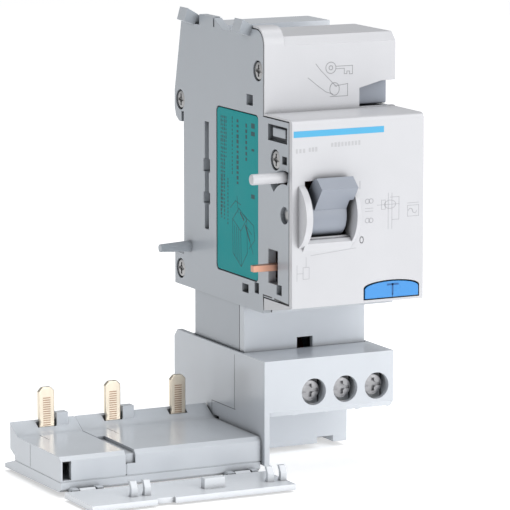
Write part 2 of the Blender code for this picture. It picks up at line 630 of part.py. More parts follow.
carve(front_cover, prism("test_opening", "Y", test_arch(GAP), FRONT - WALL, FRONT + 2 * WALL))
LOCK_LEFT = 7.8 * MM
LOCK_BOTTOM = PLATE_TOP + 0.2 * MM
LOCK_TOP = 28.6 * MM
LOCK_FACE = -40.2 * MM
LOCK_THICKNESS = 3.0 * MM
LOCK_REAR = -34.4 * MM
LOCK_SEAT = -30.5 * MM
LOCK_ARC = 3.0 * MM
lock_notch = [(LOCK_LEFT, LOCK_BOTTOM), (RIGHT + WALL, LOCK_BOTTOM), (RIGHT + WALL, LOCK_TOP),
              (LOCK_LEFT + LOCK_ARC * 2, LOCK_TOP), (LOCK_LEFT, LOCK_TOP - LOCK_ARC / 2)]
carve(front_cover, prism("lock_notch", "Y", lock_notch, SHOULDER - WALL, SHOULDER + 2 * WALL))
carve(right_shell, block("lock_bay", (LOCK_LEFT, UPPER_INNER - WALL, LOCK_BOTTOM - GAP),
                         (RIGHT + WALL, LOCK_REAR, LOCK_TOP)))
block("lock_button", (LOCK_LEFT + GAP, LOCK_FACE, LOCK_BOTTOM), (RIGHT, LOCK_FACE + LOCK_THICKNESS,
                                                              LOCK_TOP - GAP), TOGGLE_GREY)
LOCK_SPRING = ((LOCK_LEFT + RIGHT) / 2, (LOCK_BOTTOM + LOCK_TOP) / 2)
coil("lock_spring", "Y", LOCK_SPRING, 1.6 * MM, 0.4 * MM, LOCK_FACE + LOCK_THICKNESS + GAP,
     LOCK_SEAT - GAP, 6, STEEL)
join(right_shell, block("spring_seat_form", (LOCK_LEFT - WALL, LOCK_SEAT, LOCK_BOTTOM - GAP),
                        (RIGHT - WALL / 2, LOCK_SEAT + 1.2 * MM, LOCK_TOP + MM)))

# ---- rail latch ---------------------------------------------------------------------------------

LATCH_HALF = 6.0 * MM
LATCH_FRONT = RAIL_SLOT_REAR
LATCH_NOSE = -RAIL_EDGE + 2.4 * MM
LATCH_BOTTOM = HOUSING_BOTTOM - 5.5 * MM
latch_outline = [(LATCH_FRONT, LATCH_NOSE), (3.2 * MM, LATCH_NOSE),
                 (4.6 * MM, -RAIL_EDGE - 1.4 * MM), (4.6 * MM, LATCH_BOTTOM),
                 (-2.0 * MM, LATCH_BOTTOM), (-2.0 * MM, LATCH_BOTTOM + 2.0 * MM),
                 (LATCH_FRONT, LATCH_BOTTOM + 2.0 * MM)]
prism("rail_latch", "X", latch_outline, -LATCH_HALF, LATCH_HALF, GREY)
carve(right_shell, block("latch_slot", (-LATCH_HALF - GAP, LATCH_FRONT - GAP, HOUSING_BOTTOM - WALL),
                         (LATCH_HALF + GAP, HOOK_DEPTH + WALL, -RAIL_EDGE + WALL)))

# ---- transformer and its conductors -------------------------------------------------------------

CORE_X = 1.0 * MM
CORE_Y = -15.5 * MM
CORE_LOW = 3.0 * MM
CASE_OUTER = 12.6 * MM
CASE_INNER = 5.2 * MM
CASE_HEIGHT = 11.0 * MM
CASE_WALL = 0.9 * MM
CORE_TOP = CORE_LOW + 6.5 * MM
core_centre = (CORE_X, CORE_Y)
transformer_case = rod("transformer_case", "Z", core_centre, CASE_OUTER, CORE_LOW,
                       CORE_LOW + CASE_HEIGHT, BLACK, sides=36)
carve(transformer_case, rod("case_bore", "Z", core_centre, CASE_INNER, CORE_LOW - WALL,
                            CORE_LOW + CASE_HEIGHT + WALL))


def washer(name, outer, inner, low, high, paint=None):
    """A ring made in one mesh, for use as a piece or as a cutter."""
    made = bmesh.new()
    loops = []
    for radius, height in ((outer, low), (outer, high), (inner, high), (inner, low)):
        loops.append([made.verts.new((x, y, height)) for x, y in circle(core_centre, radius, 36)])
    for one, two in zip(loops, loops[1:] + loops[:1]):
        for step in range(36):
            after = (step + 1) % 36
            made.faces.new((one[step], one[after], two[after], two[step]))
    shape = add_mesh(name, made, paint)
    shape.data.shade_smooth()
    shape.data.set_sharp_from_angle(angle=math.radians(35))
    return shape


carve(transformer_case, washer("case_groove", CASE_OUTER - CASE_WALL, CASE_INNER + CASE_WALL,
                               CORE_LOW + CASE_WALL, CORE_LOW + CASE_HEIGHT + WALL))
washer("transformer_core", CASE_OUTER - CASE_WALL - GAP, CASE_INNER + CASE_WALL + GAP,
       CORE_LOW + CASE_WALL + GAP, CORE_TOP, DARK)
washer("secondary_winding", CASE_OUTER - CASE_WALL - 2 * GAP, CASE_INNER + CASE_WALL + 2 * GAP,
       CORE_TOP + GAP, CORE_LOW + CASE_HEIGHT - GAP, AMBER)

WIRE_RADIUS = 1.1 * MM
WIRE_BEND = 2.5 * MM
RETURN_Y = CORE_Y - CASE_OUTER - 2.2 * MM
LOOP_TOP = CORE_LOW + CASE_HEIGHT + 5.0 * MM
WIRE_END = HOUSING_BOTTOM + 3.0 * MM
WIRE_OFFSETS = (-2.8 * MM, 0.0, 2.8 * MM)
quarter = [math.pi / 2 * step / 4 for step in range(5)]
for number, offset in enumerate(WIRE_OFFSETS, 1):
    x = CORE_X + offset
    middle_z = LOOP_TOP - WIRE_BEND
    rear_turn = [(x, CORE_Y - WIRE_BEND * (1 - math.cos(a)), middle_z + WIRE_BEND * math.sin(a))
                 for a in quarter]
    front_turn = [(x, RETURN_Y + WIRE_BEND * (1 - math.sin(a)), middle_z + WIRE_BEND * math.cos(a))
                  for a in quarter]
    route = [(x, CORE_Y, WIRE_END), *rear_turn, *front_turn, (x, RETURN_Y, WIRE_END + 8 * MM)]
    tube(f"primary_conductor_{number}", route, WIRE_RADIUS, COPPER)

# ---- trip relay ---------------------------------------------------------------------------------

RELAY_LEFT = TUB_LEFT + 1.5 * MM
RELAY_RIGHT = LOCK_LEFT - 2.5 * MM
RELAY_FRONT = UPPER_INNER + WALL + 4.0 * MM
RELAY_REAR = VALLEY_FRONT - WALL - 0.6 * MM
RELAY_LOW = LOOP_TOP + WIRE_RADIUS + 1.5 * MM
RELAY_HIGH = RELAY_LOW + 12.0 * MM
block("trip_relay", (RELAY_LEFT, RELAY_FRONT, RELAY_LOW), (RELAY_RIGHT, RELAY_REAR, RELAY_HIGH), BLACK)
rod("relay_plunger", "Z", ((RELAY_LEFT + RELAY_RIGHT) / 2, RELAY_FRONT + 2.5 * MM), 1.2 * MM,
    RELAY_LOW - 3.0 * MM, RELAY_LOW - GAP, BRASS)

# ---- toggle, its shaft and spring ---------------------------------------------------------------

toggle_centre = (TOGGLE_Y, TOGGLE_Z)
handle_points = ((-1.0, 1.0), (-1.5, 5.2), (-4.9, 8.7), (-6.6, 9.3), (-9.4, 6.9), (-6.9, 3.7),
                 (-5.4, 1.6), (-3.0, 0.5))
handle_outline = [(TOGGLE_Y + y * MM, TOGGLE_Z + z * MM) for y, z in handle_points]
toggle = rod("toggle", "X", toggle_centre, BARREL_RADIUS, toggle_low, toggle_high, TOGGLE_GREY,
             toggle_axis)
join(toggle, prism("handle_form", "X", handle_outline, toggle_low + HANDLE_INSET, toggle_high),
     prism("handle_end_form", "X", handle_outline[1:6], toggle_high - MM, toggle_high + HANDLE_OVERHANG))
carve(toggle, rod("toggle_bore", "X", toggle_centre, SHAFT_RADIUS + GAP, toggle_low - WALL,
                  toggle_high + WALL))
rod("toggle_shaft", "X", toggle_centre, SHAFT_RADIUS, LEFT + 0.7 * MM, rib_high + 0.4 * MM, STEEL)
coil("toggle_spring", "X", toggle_centre, SHAFT_RADIUS + 0.7 * MM, 0.4 * MM, toggle_high + GAP,
     toggle_high + GAP + SPRING_WIDTH - 0.1 * MM, 4, STEEL)

# ---- link pin on its arm ------------------------------------------------------------------------

ARM_LOW = TUB_LEFT
ARM_HIGH = ARM_LOW + 1.0 * MM
PIN_REACH = 8.7 * MM
link_centre = (TOGGLE_Y, TOGGLE_Z)
pin_y = TOGGLE_Y + LINK_RADIUS * math.cos(LINK_REST)
pin_z = TOGGLE_Z + LINK_RADIUS * math.sin(LINK_REST)
link_arm = rod("link_arm", "X", link_centre, 2.1 * MM, ARM_LOW, ARM_HIGH, WHITE, link_axis)
arm_outline = [(TOGGLE_Y + 1.7 * MM, TOGGLE_Z + 0.6 * MM), (pin_y + 1.6 * MM, pin_z),
               (pin_y, pin_z + 1.6 * MM), (pin_y - 1.4 * MM, pin_z), (TOGGLE_Y - 1.7 * MM, TOGGLE_Z + 0.6 * MM)]
join(link_arm, prism("arm_form", "X", arm_outline, ARM_LOW, ARM_HIGH))
carve(link_arm, rod("arm_bore", "X", link_centre, SHAFT_RADIUS + GAP, ARM_LOW - WALL, ARM_HIGH + WALL))
rod("link_pin", "X", (pin_y, pin_z), PIN_RADIUS, LEFT - PIN_REACH, ARM_LOW - GAP / 2, WHITE, link_axis)

# ---- trip lever on its pivot --------------------------------------------------------------------

LEVER_TIP_Y = -49.2 * MM
LEVER_HALF = 0.75 * MM
LEVER_PIN = 0.7 * MM
LEVER_REACH = 5.6 * MM
LEVER_LOW = INNER_LEFT + 1.0 * MM
LEVER_HIGH = LEVER_LOW + 1.2 * MM
lever_outline = [(LEVER_LOW, LEVER_PIVOT_Y), (LEVER_LOW, LEVER_TIP_Y + 1.7 * MM),
                 (LEFT - LEVER_REACH, LEVER_TIP_Y + 0.7 * MM),
                 (LEFT - LEVER_REACH, LEVER_TIP_Y - 0.8 * MM),
                 (LEVER_LOW, LEVER_TIP_Y - 1.5 * MM), (LEVER_HIGH, LEVER_TIP_Y - 1.5 * MM),
                 (LEVER_HIGH, LEVER_PIVOT_Y)]
lever_centre = (LEVER_PIVOT_Y, LEVER_Z)
trip_lever = prism("trip_lever", "Z", lever_outline, LEVER_Z - LEVER_HALF, LEVER_Z + LEVER_HALF, COPPER,
                   lever_axis)
join(trip_lever, rod("lever_hub_form", "X", lever_centre, 1.7 * MM, LEVER_LOW, LEVER_HIGH))
carve(trip_lever, rod("lever_bore", "X", lever_centre, LEVER_PIN + GAP, LEVER_LOW - WALL,
                      LEVER_HIGH + WALL))
rod("lever_pivot", "X", lever_centre, LEVER_PIN, LEVER_LOW - 0.5 * MM, LEVER_HIGH + MM, STEEL)

# ---- test button circuit ------------------------------------------------------------------------

TEST_PROUD = 0.2 * MM
TEST_REAR = FRONT + 3.0 * MM
TEST_SEAT = -50.2 * MM
test_x = (TEST_LEFT + TEST_RIGHT) / 2
test_z = (TEST_BOTTOM + TEST_TOP) / 2 - 0.2 * MM
prism("test_button", "Y", test_arch(0), FRONT - TEST_PROUD, TEST_REAR, BLUE)
carve(right_shell, block("test_bay", (TEST_LEFT - 0.6 * MM, PLATE_INNER - WALL, PLATE_BOTTOM - WALL),
                         (TEST_RIGHT + 0.6 * MM, TEST_SEAT, TEST_TOP + 0.6 * MM)))
coil("test_spring", "Y", (test_x, test_z), 1.1 * MM, 0.4 * MM, TEST_REAR + GAP, TEST_SEAT - GAP, 5,
     STEEL)
contact_low = TEST_SEAT + GAP
contact_foot = PLATE_BOTTOM + COVER_WALL + WALL + 2 * GAP
contact_outline = [(test_x - 4 * MM, contact_low), (test_x + 4 * MM, contact_low),
                   (test_x + 4 * MM, contact_low + 5 * MM), (test_x + 3.5 * MM, contact_low + 5 * MM),
                   (test_x + 3.5 * MM, contact_low + 0.5 * MM), (test_x - 4 * MM, contact_low + 0.5 * MM)]
prism("test_contact", "Z", contact_outline, contact_foot, contact_foot + 4.4 * MM, COPPER)
rod("test_resistor", "Z", (test_x, contact_low + 4 * MM), 1.3 * MM, test_z + 5 * MM, test_z + 12 * MM,
    BLUE)

# ---- carriage -----------------------------------------------------------------------------------

bore_rear = NECK_REAR + GAP
carriage_back = bore_rear + CARRIAGE_WALL
BLOCK_CHAMFER = 1.6 * MM
carriage_outline = [
    (SHOULDER, CARRIAGE_TOP),
    (SHOULDER, BLOCK_BOTTOM + BLOCK_CHAMFER),
    (SHOULDER + BLOCK_CHAMFER, BLOCK_BOTTOM),
    (BASE_FRONT, BLOCK_BOTTOM),
    (BASE_FRONT, BASE_BOTTOM),
    (carriage_back, BASE_BOTTOM),
    (carriage_back, CARRIAGE_TOP),
]
carriage_shell = prism("carriage_shell", "X", carriage_outline, LEFT, RIGHT, LIGHT_GREY, carriage_axis)
EAR_ROUND = 1.8 * MM
SIDE_BOTTOM = TRAY_TOP - GAP
ear_outline = [(carriage_back - WALL / 2, CARRIAGE_TOP), (CARRIAGE_REAR - EAR_ROUND, CARRIAGE_TOP),
               (CARRIAGE_REAR, CARRIAGE_TOP - EAR_ROUND), (CARRIAGE_REAR, SIDE_BOTTOM),
               (carriage_back - WALL / 2, SIDE_BOTTOM)]
join(carriage_shell, prism("left_ear_form", "X", ear_outline, LEFT, LEFT + CARRIAGE_WALL))
join(carriage_shell, prism("right_ear_form", "X", ear_outline, RIGHT - CARRIAGE_WALL, RIGHT))
SKIRT_BOTTOM = BASE_BOTTOM + 1.6 * MM
join(carriage_shell, block("left_skirt_form", (LEFT, SHOULDER, SKIRT_BOTTOM),
                           (LEFT + CARRIAGE_WALL, BASE_FRONT + WALL, BLOCK_BOTTOM + 2 * BLOCK_CHAMFER)))
front_floor = NECK_FRONT_BOTTOM - SLIDE_TRAVEL - GAP
rear_floor = NECK_REAR_BOTTOM - SLIDE_TRAVEL - GAP
carve(carriage_shell,
      block("neck_bore_front", (NECK_LEFT - GAP, NECK_FRONT - GAP, front_floor),
            (NECK_RIGHT + GAP, NECK_STEP, CARRIAGE_TOP + WALL)),
      block("neck_bore_rear", (NECK_LEFT - GAP, NECK_STEP - GAP, rear_floor),
            (NECK_RIGHT + GAP, bore_rear, CARRIAGE_TOP + 2 * WALL)))
BAR_FRONT = BASE_FRONT + 1.3 * MM
BAR_REAR = BAR_FRONT + 2.0 * MM
BAR_CLEAR = 0.4 * MM
carve(carriage_shell, block("bar_tunnel", (LEFT - WALL, BAR_FRONT - BAR_CLEAR, TRAY_TOP - 6.2 * MM),
                            (12 * MM, BAR_REAR + BAR_CLEAR, rear_floor + MM)))
FOOT_NOTCH = (9.2 * MM, 13.6 * MM)
carve(carriage_shell, block("foot_notch", (FOOT_NOTCH[0], BASE_FRONT - WALL, BASE_BOTTOM - WALL),
                            (FOOT_NOTCH[1], BASE_FRONT + 6 * MM, BASE_BOTTOM + 1.6 * MM)))

carve(carriage_shell, block("block_hollow", (LEFT + CARRIAGE_WALL, SHOULDER + CARRIAGE_WALL,
                                             BLOCK_BOTTOM - WALL),
                            (TERMINAL_FIRST_X - 5.1 * MM, NECK_FRONT - 1.2 * MM, CARRIAGE_TOP - 2.6 * MM)))

# terminals: a chamber, a screw, a cage that the screw draws forwards, and a fixed contact
CHAMBER_HALF = 3.7 * MM
CHAMBER_TOP = CARRIAGE_TOP - 2.6 * MM
chamber_front = SHOULDER + CARRIAGE_WALL
chamber_rear = NECK_FRONT - GAP - 0.9 * MM
CAGE_HALF = CHAMBER_HALF - 0.5 * MM
CAGE_WALL = 0.7 * MM
CAGE_TRAVEL = 1.4 * MM
CAGE_TOP = CHAMBER_TOP - 1.3 * MM
CAGE_BOTTOM = BLOCK_BOTTOM + 1.7 * MM
cage_rear = chamber_rear - 0.5 * MM
HEAD_THICKNESS = 1.2 * MM
head_rear = chamber_front + HEAD_THICKNESS + GAP
cage_front = head_rear + GAP + CAGE_TRAVEL
SCREW_RADIUS = 1.5 * MM
HEAD_RADIUS = 2.6 * MM
plate_front = cage_front + CAGE_WALL + 0.4 * MM
PLATE_THICKNESS = 0.7 * MM
for number in range(TERMINALS):
    x = TERMINAL_FIRST_X + number * TERMINAL_PITCH
    label = number + 1
    carve(carriage_shell,
          block(f"chamber_{label}", (x - CHAMBER_HALF, chamber_front, BLOCK_BOTTOM - WALL),
                (x + CHAMBER_HALF, chamber_rear, CHAMBER_TOP)),
          rod(f"screw_access_{label}", "Y", (x, TERMINAL_Z), TERMINAL_HOLE / 2, SHOULDER - WALL,
              chamber_front + WALL / 2))
    cage = block(f"cage_clamp_{label}", (x - CAGE_HALF, cage_front, CAGE_BOTTOM),
                 (x + CAGE_HALF, cage_rear, CAGE_TOP), STEEL, carriage_axis)
    carve(cage, block(f"cage_window_{label}", (x - CAGE_HALF + CAGE_WALL, cage_front + CAGE_WALL,
                                               CAGE_BOTTOM - WALL),
                      (x + CAGE_HALF - CAGE_WALL, cage_rear - CAGE_WALL, CAGE_TOP + WALL)),
          rod(f"cage_bore_{label}", "Y", (x, TERMINAL_Z), SCREW_RADIUS + GAP, cage_front - WALL,
              cage_front + CAGE_WALL + GAP))
    screw_axis = joint_axis(f"terminal_axis_{label}", (x, head_rear, TERMINAL_Z), carriage_axis)
    screw = rod(f"terminal_screw_{label}", "Y", (x, TERMINAL_Z), SCREW_RADIUS, head_rear - 0.6 * MM,
                plate_front - GAP, STEEL, screw_axis)
    join(screw, rod(f"terminal_head_{label}", "Y", (x, TERMINAL_Z), HEAD_RADIUS,
                    head_rear - HEAD_THICKNESS, head_rear))
    for turn, (reach_x, reach_z) in enumerate(((2.2 * MM, 0.35 * MM), (0.35 * MM, 2.2 * MM))):
        carve(screw, block(f"terminal_cross_{label}_{turn}",
                           (x - reach_x, head_rear - HEAD_THICKNESS - WALL, TERMINAL_Z - reach_z),
                           (x + reach_x, head_rear - HEAD_THICKNESS + 0.7 * MM, TERMINAL_Z + reach_z)))
    block(f"terminal_contact_{label}", (x - CAGE_HALF + CAGE_WALL + 0.4 * MM, plate_front, CAGE_BOTTOM),
          (x + CAGE_HALF - CAGE_WALL - 0.4 * MM, plate_front + PLATE_THICKNESS, CHAMBER_TOP - GAP),
          COPPER, carriage_axis)

# ---- tray ---------------------------------------------------------------------------------------

SEAM_Z = BASE_BOTTOM + 2.4 * MM
TRAY_RIGHT = LEFT - GAP
LIP_TOP = TRAY_TOP + 2.8 * MM
LIP_FOOT_Y = TRAY_REAR - 4.8 * MM
TRAY_FOOT_Y = -9.3 * MM
base_outline = [(TRAY_FRONT, SEAM_Z), (TRAY_REAR - 2.8 * MM, SEAM_Z),
                (TRAY_FOOT_Y, BASE_BOTTOM + 0.6 * MM), (TRAY_FOOT_Y, BASE_BOTTOM - 0.4 * MM),
                (TRAY_FRONT + MM, BASE_BOTTOM), (TRAY_FRONT, BASE_BOTTOM + 0.8 * MM)]
tray_base = prism("tray_base", "X", base_outline, TRAY_LEFT, TRAY_RIGHT, LIGHT_GREY, carriage_axis)

cover_outline_tray = [
    (TRAY_FRONT, SEAM_Z + GAP), (TRAY_FRONT, TRAY_TOP - MM), (TRAY_FRONT + MM, TRAY_TOP),
    (LIP_FOOT_Y, TRAY_TOP), (TRAY_REAR, LIP_TOP), (TRAY_REAR, TRAY_TOP - 3.7 * MM),
    (TRAY_REAR - 2.8 * MM, TRAY_TOP - 4.9 * MM), (TRAY_REAR - 2.8 * MM, SEAM_Z + GAP),
]
SPLIT_X = TRAY_LEFT + MODULE - 0.6 * MM
split_low, split_high = SPLIT_X - GAP / 2, SPLIT_X + GAP / 2
tray_spans = (("tray_end_cover", TRAY_LEFT, split_low), ("tray_cover", split_high, TRAY_RIGHT))
tray_covers = {}
for name, low, high in tray_spans:
    shell = prism(name, "X", cover_outline_tray, low, high, LIGHT_GREY, carriage_axis)
    hollow_low = low + TRAY_WALL if name == "tray_end_cover" else low - WALL
    carve(shell, block(name + "_hollow", (hollow_low, TRAY_FRONT + TRAY_WALL, SEAM_Z - WALL),
                       (high + WALL, TRAY_REAR - 2.8 * MM - TRAY_WALL, TRAY_TOP - TRAY_WALL)))
    tray_covers[name] = shell

GROOVE_DEPTH = 0.9 * MM
GROOVE_RIGHT = split_high + 2.2 * MM
carve(tray_covers["tray_cover"],
      block("top_groove", (split_high - WALL, TRAY_FRONT - WALL, TRAY_TOP - GROOVE_DEPTH),
            (GROOVE_RIGHT, TRAY_FRONT + 18 * MM, TRAY_TOP + WALL)),
      block("front_groove", (split_high - WALL, TRAY_FRONT - WALL, TRAY_TOP - 3.1 * MM),
            (GROOVE_RIGHT, TRAY_FRONT + GROOVE_DEPTH, TRAY_TOP)))
carve(tray_covers["tray_end_cover"],
      block("end_slot", (TRAY_LEFT + 0.5 * MM, TRAY_FRONT - WALL, TRAY_TOP - 5.6 * MM),
            (TRAY_LEFT + 2.7 * MM, TRAY_FRONT + 8 * MM, TRAY_TOP - 1.1 * MM)))

POST_HEIGHT = 1.7 * MM
POST_OFFSET = 4.0 * MM          # from a blade's middle to its post
POST_WIDTH = 3.0 * MM
for number, name in ((1, "tray_cover"), (2, "tray_end_cover")):
    post_low = LEFT - MODULE * (number + 0.5) + POST_OFFSET - POST_WIDTH / 2
    join(tray_covers[name], block(f"post_form_{number}", (post_low, TRAY_REAR - 2.4 * MM, TRAY_TOP - MM),
                                  (post_low + POST_WIDTH, TRAY_REAR, LIP_TOP + POST_HEIGHT)))

# ---- input blades, each with a bar that runs under the terminals --------------------------------

BAR_THICKNESS = 0.8 * MM
BAR_STEP = 1.3 * MM
BAR_TOP = TRAY_TOP - TRAY_WALL - 0.5 * MM
RISER_FIRST_X = -9.0 * MM
RISER_STEP = 8.0 * MM
RISER_TOP = rear_floor + 4.5 * MM
RISER_FRONT = NECK_STEP + 0.2 * MM
BLADE_CORNER = 1.0 * MM
for number in range(POLES):
    x = LEFT - MODULE * (number + 0.5)
    label = number + 1
    cover_name = "tray_end_cover" if x < SPLIT_X else "tray_cover"
    low, high = x - BLADE_WIDTH / 2, x + BLADE_WIDTH / 2
    front, rear = BLADE_Y - BLADE_THICKNESS / 2, BLADE_Y + BLADE_THICKNESS / 2
    carve(tray_covers[cover_name],
          block(f"blade_slot_{label}", (low - GAP, front - GAP, SEAM_Z - WALL),
                (high + GAP, rear + GAP, LIP_TOP + WALL)),
          block(f"foot_slot_{label}", (low - GAP, BAR_REAR, SEAM_Z - WALL),
                (high + GAP, BLADE_Y, BAR_TOP + 2 * GAP)))
    bar_high = BAR_TOP - number * BAR_STEP
    bar_low = bar_high - BAR_THICKNESS
    top = TRAY_TOP + BLADE_HEIGHT
    waist = TRAY_TOP + 2.4 * MM
    blade_outline = [(low, bar_low), (high, bar_low), (high, top - BLADE_CORNER),
                     (high - BLADE_CORNER, top), (low + BLADE_CORNER, top), (low, top - BLADE_CORNER),
                     (low, waist + 1.2 * MM), (low + 0.4 * MM, waist), (low, waist - 1.2 * MM)]
    blade = prism(f"input_blade_{label}", "Y", blade_outline, front, rear, BRASS, carriage_axis)
    riser = RISER_FIRST_X + number * RISER_STEP
    join(blade, block(f"bar_foot_{label}", (low, BAR_FRONT, bar_low), (high, front + MM / 4, bar_high)),
         block(f"bar_form_{label}", (low, BAR_FRONT, bar_low), (riser + BAR_THICKNESS, BAR_REAR, bar_high)),
         block(f"riser_form_{label}", (riser, RISER_FRONT, bar_low),
               (riser + BAR_THICKNESS, BAR_REAR, RISER_TOP)))
    wire_x = CORE_X + WIRE_OFFSETS[number]
    lead_x = riser + BAR_THICKNESS / 2
    lead_y = RISER_FRONT + WIRE_RADIUS
    tube(f"flexible_lead_{label}", [(lead_x, lead_y, RISER_TOP + GAP), (lead_x, lead_y, RISER_TOP + 6 * MM),
                                    (wire_x, CORE_Y, WIRE_END - 6 * MM), (wire_x, CORE_Y, WIRE_END - GAP)],
         0.9 * MM, COPPER)

# ---- terminal flap, lying open ------------------------------------------------------------------

KNUCKLE_RADIUS = 1.0 * MM
PIN_SMALL = 0.4 * MM
EAR_WIDTH = 1.6 * MM
KNUCKLE_WIDTH = 4.0 * MM
flap_rear = FLAP_AXIS_Y - KNUCKLE_RADIUS - 0.4 * MM
flap_front = FLAP_AXIS_Y - FLAP_DEPTH
flap_low = FLAP_AXIS_Z - FLAP_THICKNESS / 2
flap_high = FLAP_AXIS_Z + FLAP_THICKNESS / 2
flap = block("flap", (TRAY_LEFT - GAP, flap_front, flap_low), (LEFT - GAP, flap_rear, flap_high),
             LIGHT_GREY, flap_axis)
carve(flap, block("flap_relief", (TRAY_LEFT + 16.3 * MM, flap_front - WALL, flap_low - WALL),
                  (TRAY_LEFT + 20.9 * MM, flap_front + MM, flap_high + WALL)))
knuckle_spots = (TRAY_LEFT + 4.0 * MM, LEFT - 8.0 * MM)
flap_centre = (FLAP_AXIS_Y, FLAP_AXIS_Z)
for number, low in enumerate(knuckle_spots, 1):
    high = low + KNUCKLE_WIDTH
    join(flap, rod(f"knuckle_form_{number}", "X", flap_centre, KNUCKLE_RADIUS, low, high, sides=16),
         block(f"knuckle_web_{number}", (low, flap_rear - MM / 2, flap_low + 0.2 * MM),
               (high, FLAP_AXIS_Y - 0.6 * MM, flap_high - 0.2 * MM)))
    carve(flap, rod(f"knuckle_bore_{number}", "X", flap_centre, PIN_SMALL + 0.2 * MM, low - WALL,
                    high + WALL, sides=12))
    for side, ear in enumerate((low - GAP - EAR_WIDTH, high + GAP)):
        join(tray_base, block(f"hinge_ear_{number}_{side}",
                              (ear, FLAP_AXIS_Y - KNUCKLE_RADIUS, FLAP_AXIS_Z - KNUCKLE_RADIUS * 0.7),
                              (ear + EAR_WIDTH, TRAY_FRONT + MM, FLAP_AXIS_Z + KNUCKLE_RADIUS)))
        carve(tray_base, rod(f"ear_bore_{number}_{side}", "X", flap_centre, PIN_SMALL + 0.2 * MM,
                             ear - GAP / 2, ear + EAR_WIDTH + GAP / 2, sides=12))
    rod(f"flap_hinge_pin_{number}", "X", flap_centre, PIN_SMALL, low - GAP - EAR_WIDTH,
        high + GAP + EAR_WIDTH, STEEL, carriage_axis, sides=12)

HOOK_HEIGHT = 3.6 * MM
HOOK_WIDTH = 1.6 * MM
HOOK_FRONT = flap_front + 4.6 * MM
hook_spots = (TRAY_LEFT + 11.6 * MM, TRAY_LEFT + 15.0 * MM, LEFT - 5.5 * MM, LEFT - 2.1 * MM)
for number, low in enumerate(hook_spots, 1):
    hook = [(HOOK_FRONT, flap_high - MM / 2), (HOOK_FRONT + 1.8 * MM, flap_high - MM / 2),
            (HOOK_FRONT + 0.9 * MM, flap_high + 1.2 * MM), (HOOK_FRONT + 1.0 * MM, flap_high + 2.4 * MM),
            (HOOK_FRONT + 1.9 * MM, flap_high + HOOK_HEIGHT), (HOOK_FRONT + 0.7 * MM, flap_high + HOOK_HEIGHT),
            (HOOK_FRONT - 0.2 * MM, flap_high + 2.0 * MM)]
    join(flap, prism(f"hook_form_{number}", "X", hook, low, low + HOOK_WIDTH))
join(flap, block("stop_form", (LEFT - 22.0 * MM, HOOK_FRONT, flap_high - MM / 2),
                 (LEFT - 16.7 * MM, HOOK_FRONT + 2.0 * MM, flap_high + 2.5 * MM)))

# ---- label --------------------------------------------------------------------------------------

LABEL_SINK = 0.6 * MM
LABEL_ROUND = 1.2 * MM
LABEL_LOW = (-40.9 * MM, -18.4 * MM)
LABEL_HIGH = (-18.7 * MM, 21.2 * MM)


def label_outline(grow):
    """Rounded rectangle of the label, grown by a clearance."""
    low_y, low_z = LABEL_LOW[0] - grow, LABEL_LOW[1] - grow
    high_y, high_z = LABEL_HIGH[0] + grow, LABEL_HIGH[1] + grow
    inset = LABEL_ROUND
    centres = ((high_y - inset, high_z - inset), (low_y + inset, high_z - inset),
               (low_y + inset, low_z + inset), (high_y - inset, low_z + inset))
    points = []
    for turn, centre in enumerate(centres):
        points += circle(centre, inset, 5, turn * math.pi / 2, math.pi / 2)
    return points


prism("rating_label", "X", label_outline(0), LEFT + 0.1 * MM, LEFT + LABEL_SINK - GAP, TEAL)
carve(left_shell, prism("label_recess", "X", label_outline(GAP), LEFT - WALL, LEFT + LABEL_SINK))
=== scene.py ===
import json
import math

import bmesh
import bpy
from mathutils import Matrix, Vector


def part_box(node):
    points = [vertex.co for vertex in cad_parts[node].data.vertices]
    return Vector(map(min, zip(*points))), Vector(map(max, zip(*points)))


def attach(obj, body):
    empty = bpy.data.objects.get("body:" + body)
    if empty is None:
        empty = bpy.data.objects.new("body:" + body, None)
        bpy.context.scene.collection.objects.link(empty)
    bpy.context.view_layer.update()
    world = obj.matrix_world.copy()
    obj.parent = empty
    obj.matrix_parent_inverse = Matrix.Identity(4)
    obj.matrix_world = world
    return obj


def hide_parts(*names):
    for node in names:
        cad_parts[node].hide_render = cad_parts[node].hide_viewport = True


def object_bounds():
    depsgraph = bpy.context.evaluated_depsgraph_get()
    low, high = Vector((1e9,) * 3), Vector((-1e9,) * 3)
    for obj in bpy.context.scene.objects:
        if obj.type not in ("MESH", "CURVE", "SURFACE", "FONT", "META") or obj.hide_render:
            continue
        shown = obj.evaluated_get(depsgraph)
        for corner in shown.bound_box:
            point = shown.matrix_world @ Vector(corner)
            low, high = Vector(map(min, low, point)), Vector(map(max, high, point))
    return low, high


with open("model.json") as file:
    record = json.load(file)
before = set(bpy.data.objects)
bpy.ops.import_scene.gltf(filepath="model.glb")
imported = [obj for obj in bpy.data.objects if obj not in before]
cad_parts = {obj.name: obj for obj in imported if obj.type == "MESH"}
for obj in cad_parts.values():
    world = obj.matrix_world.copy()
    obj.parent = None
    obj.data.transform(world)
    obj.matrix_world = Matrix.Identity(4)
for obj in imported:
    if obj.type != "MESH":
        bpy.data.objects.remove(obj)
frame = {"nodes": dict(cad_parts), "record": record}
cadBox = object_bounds()

mm = 0.001
scene = bpy.context.scene
record = frame["record"]
nodes = frame["nodes"]
slotOf = {entry["node"]: entry["material_slot"] for entry in record["subparts"]}
bodyOf = {node: body for body, members in record["behaviour"]["bodies"].items() for node in members}

# ---- studio and camera: lengths in metres, angles in degrees, light in watts

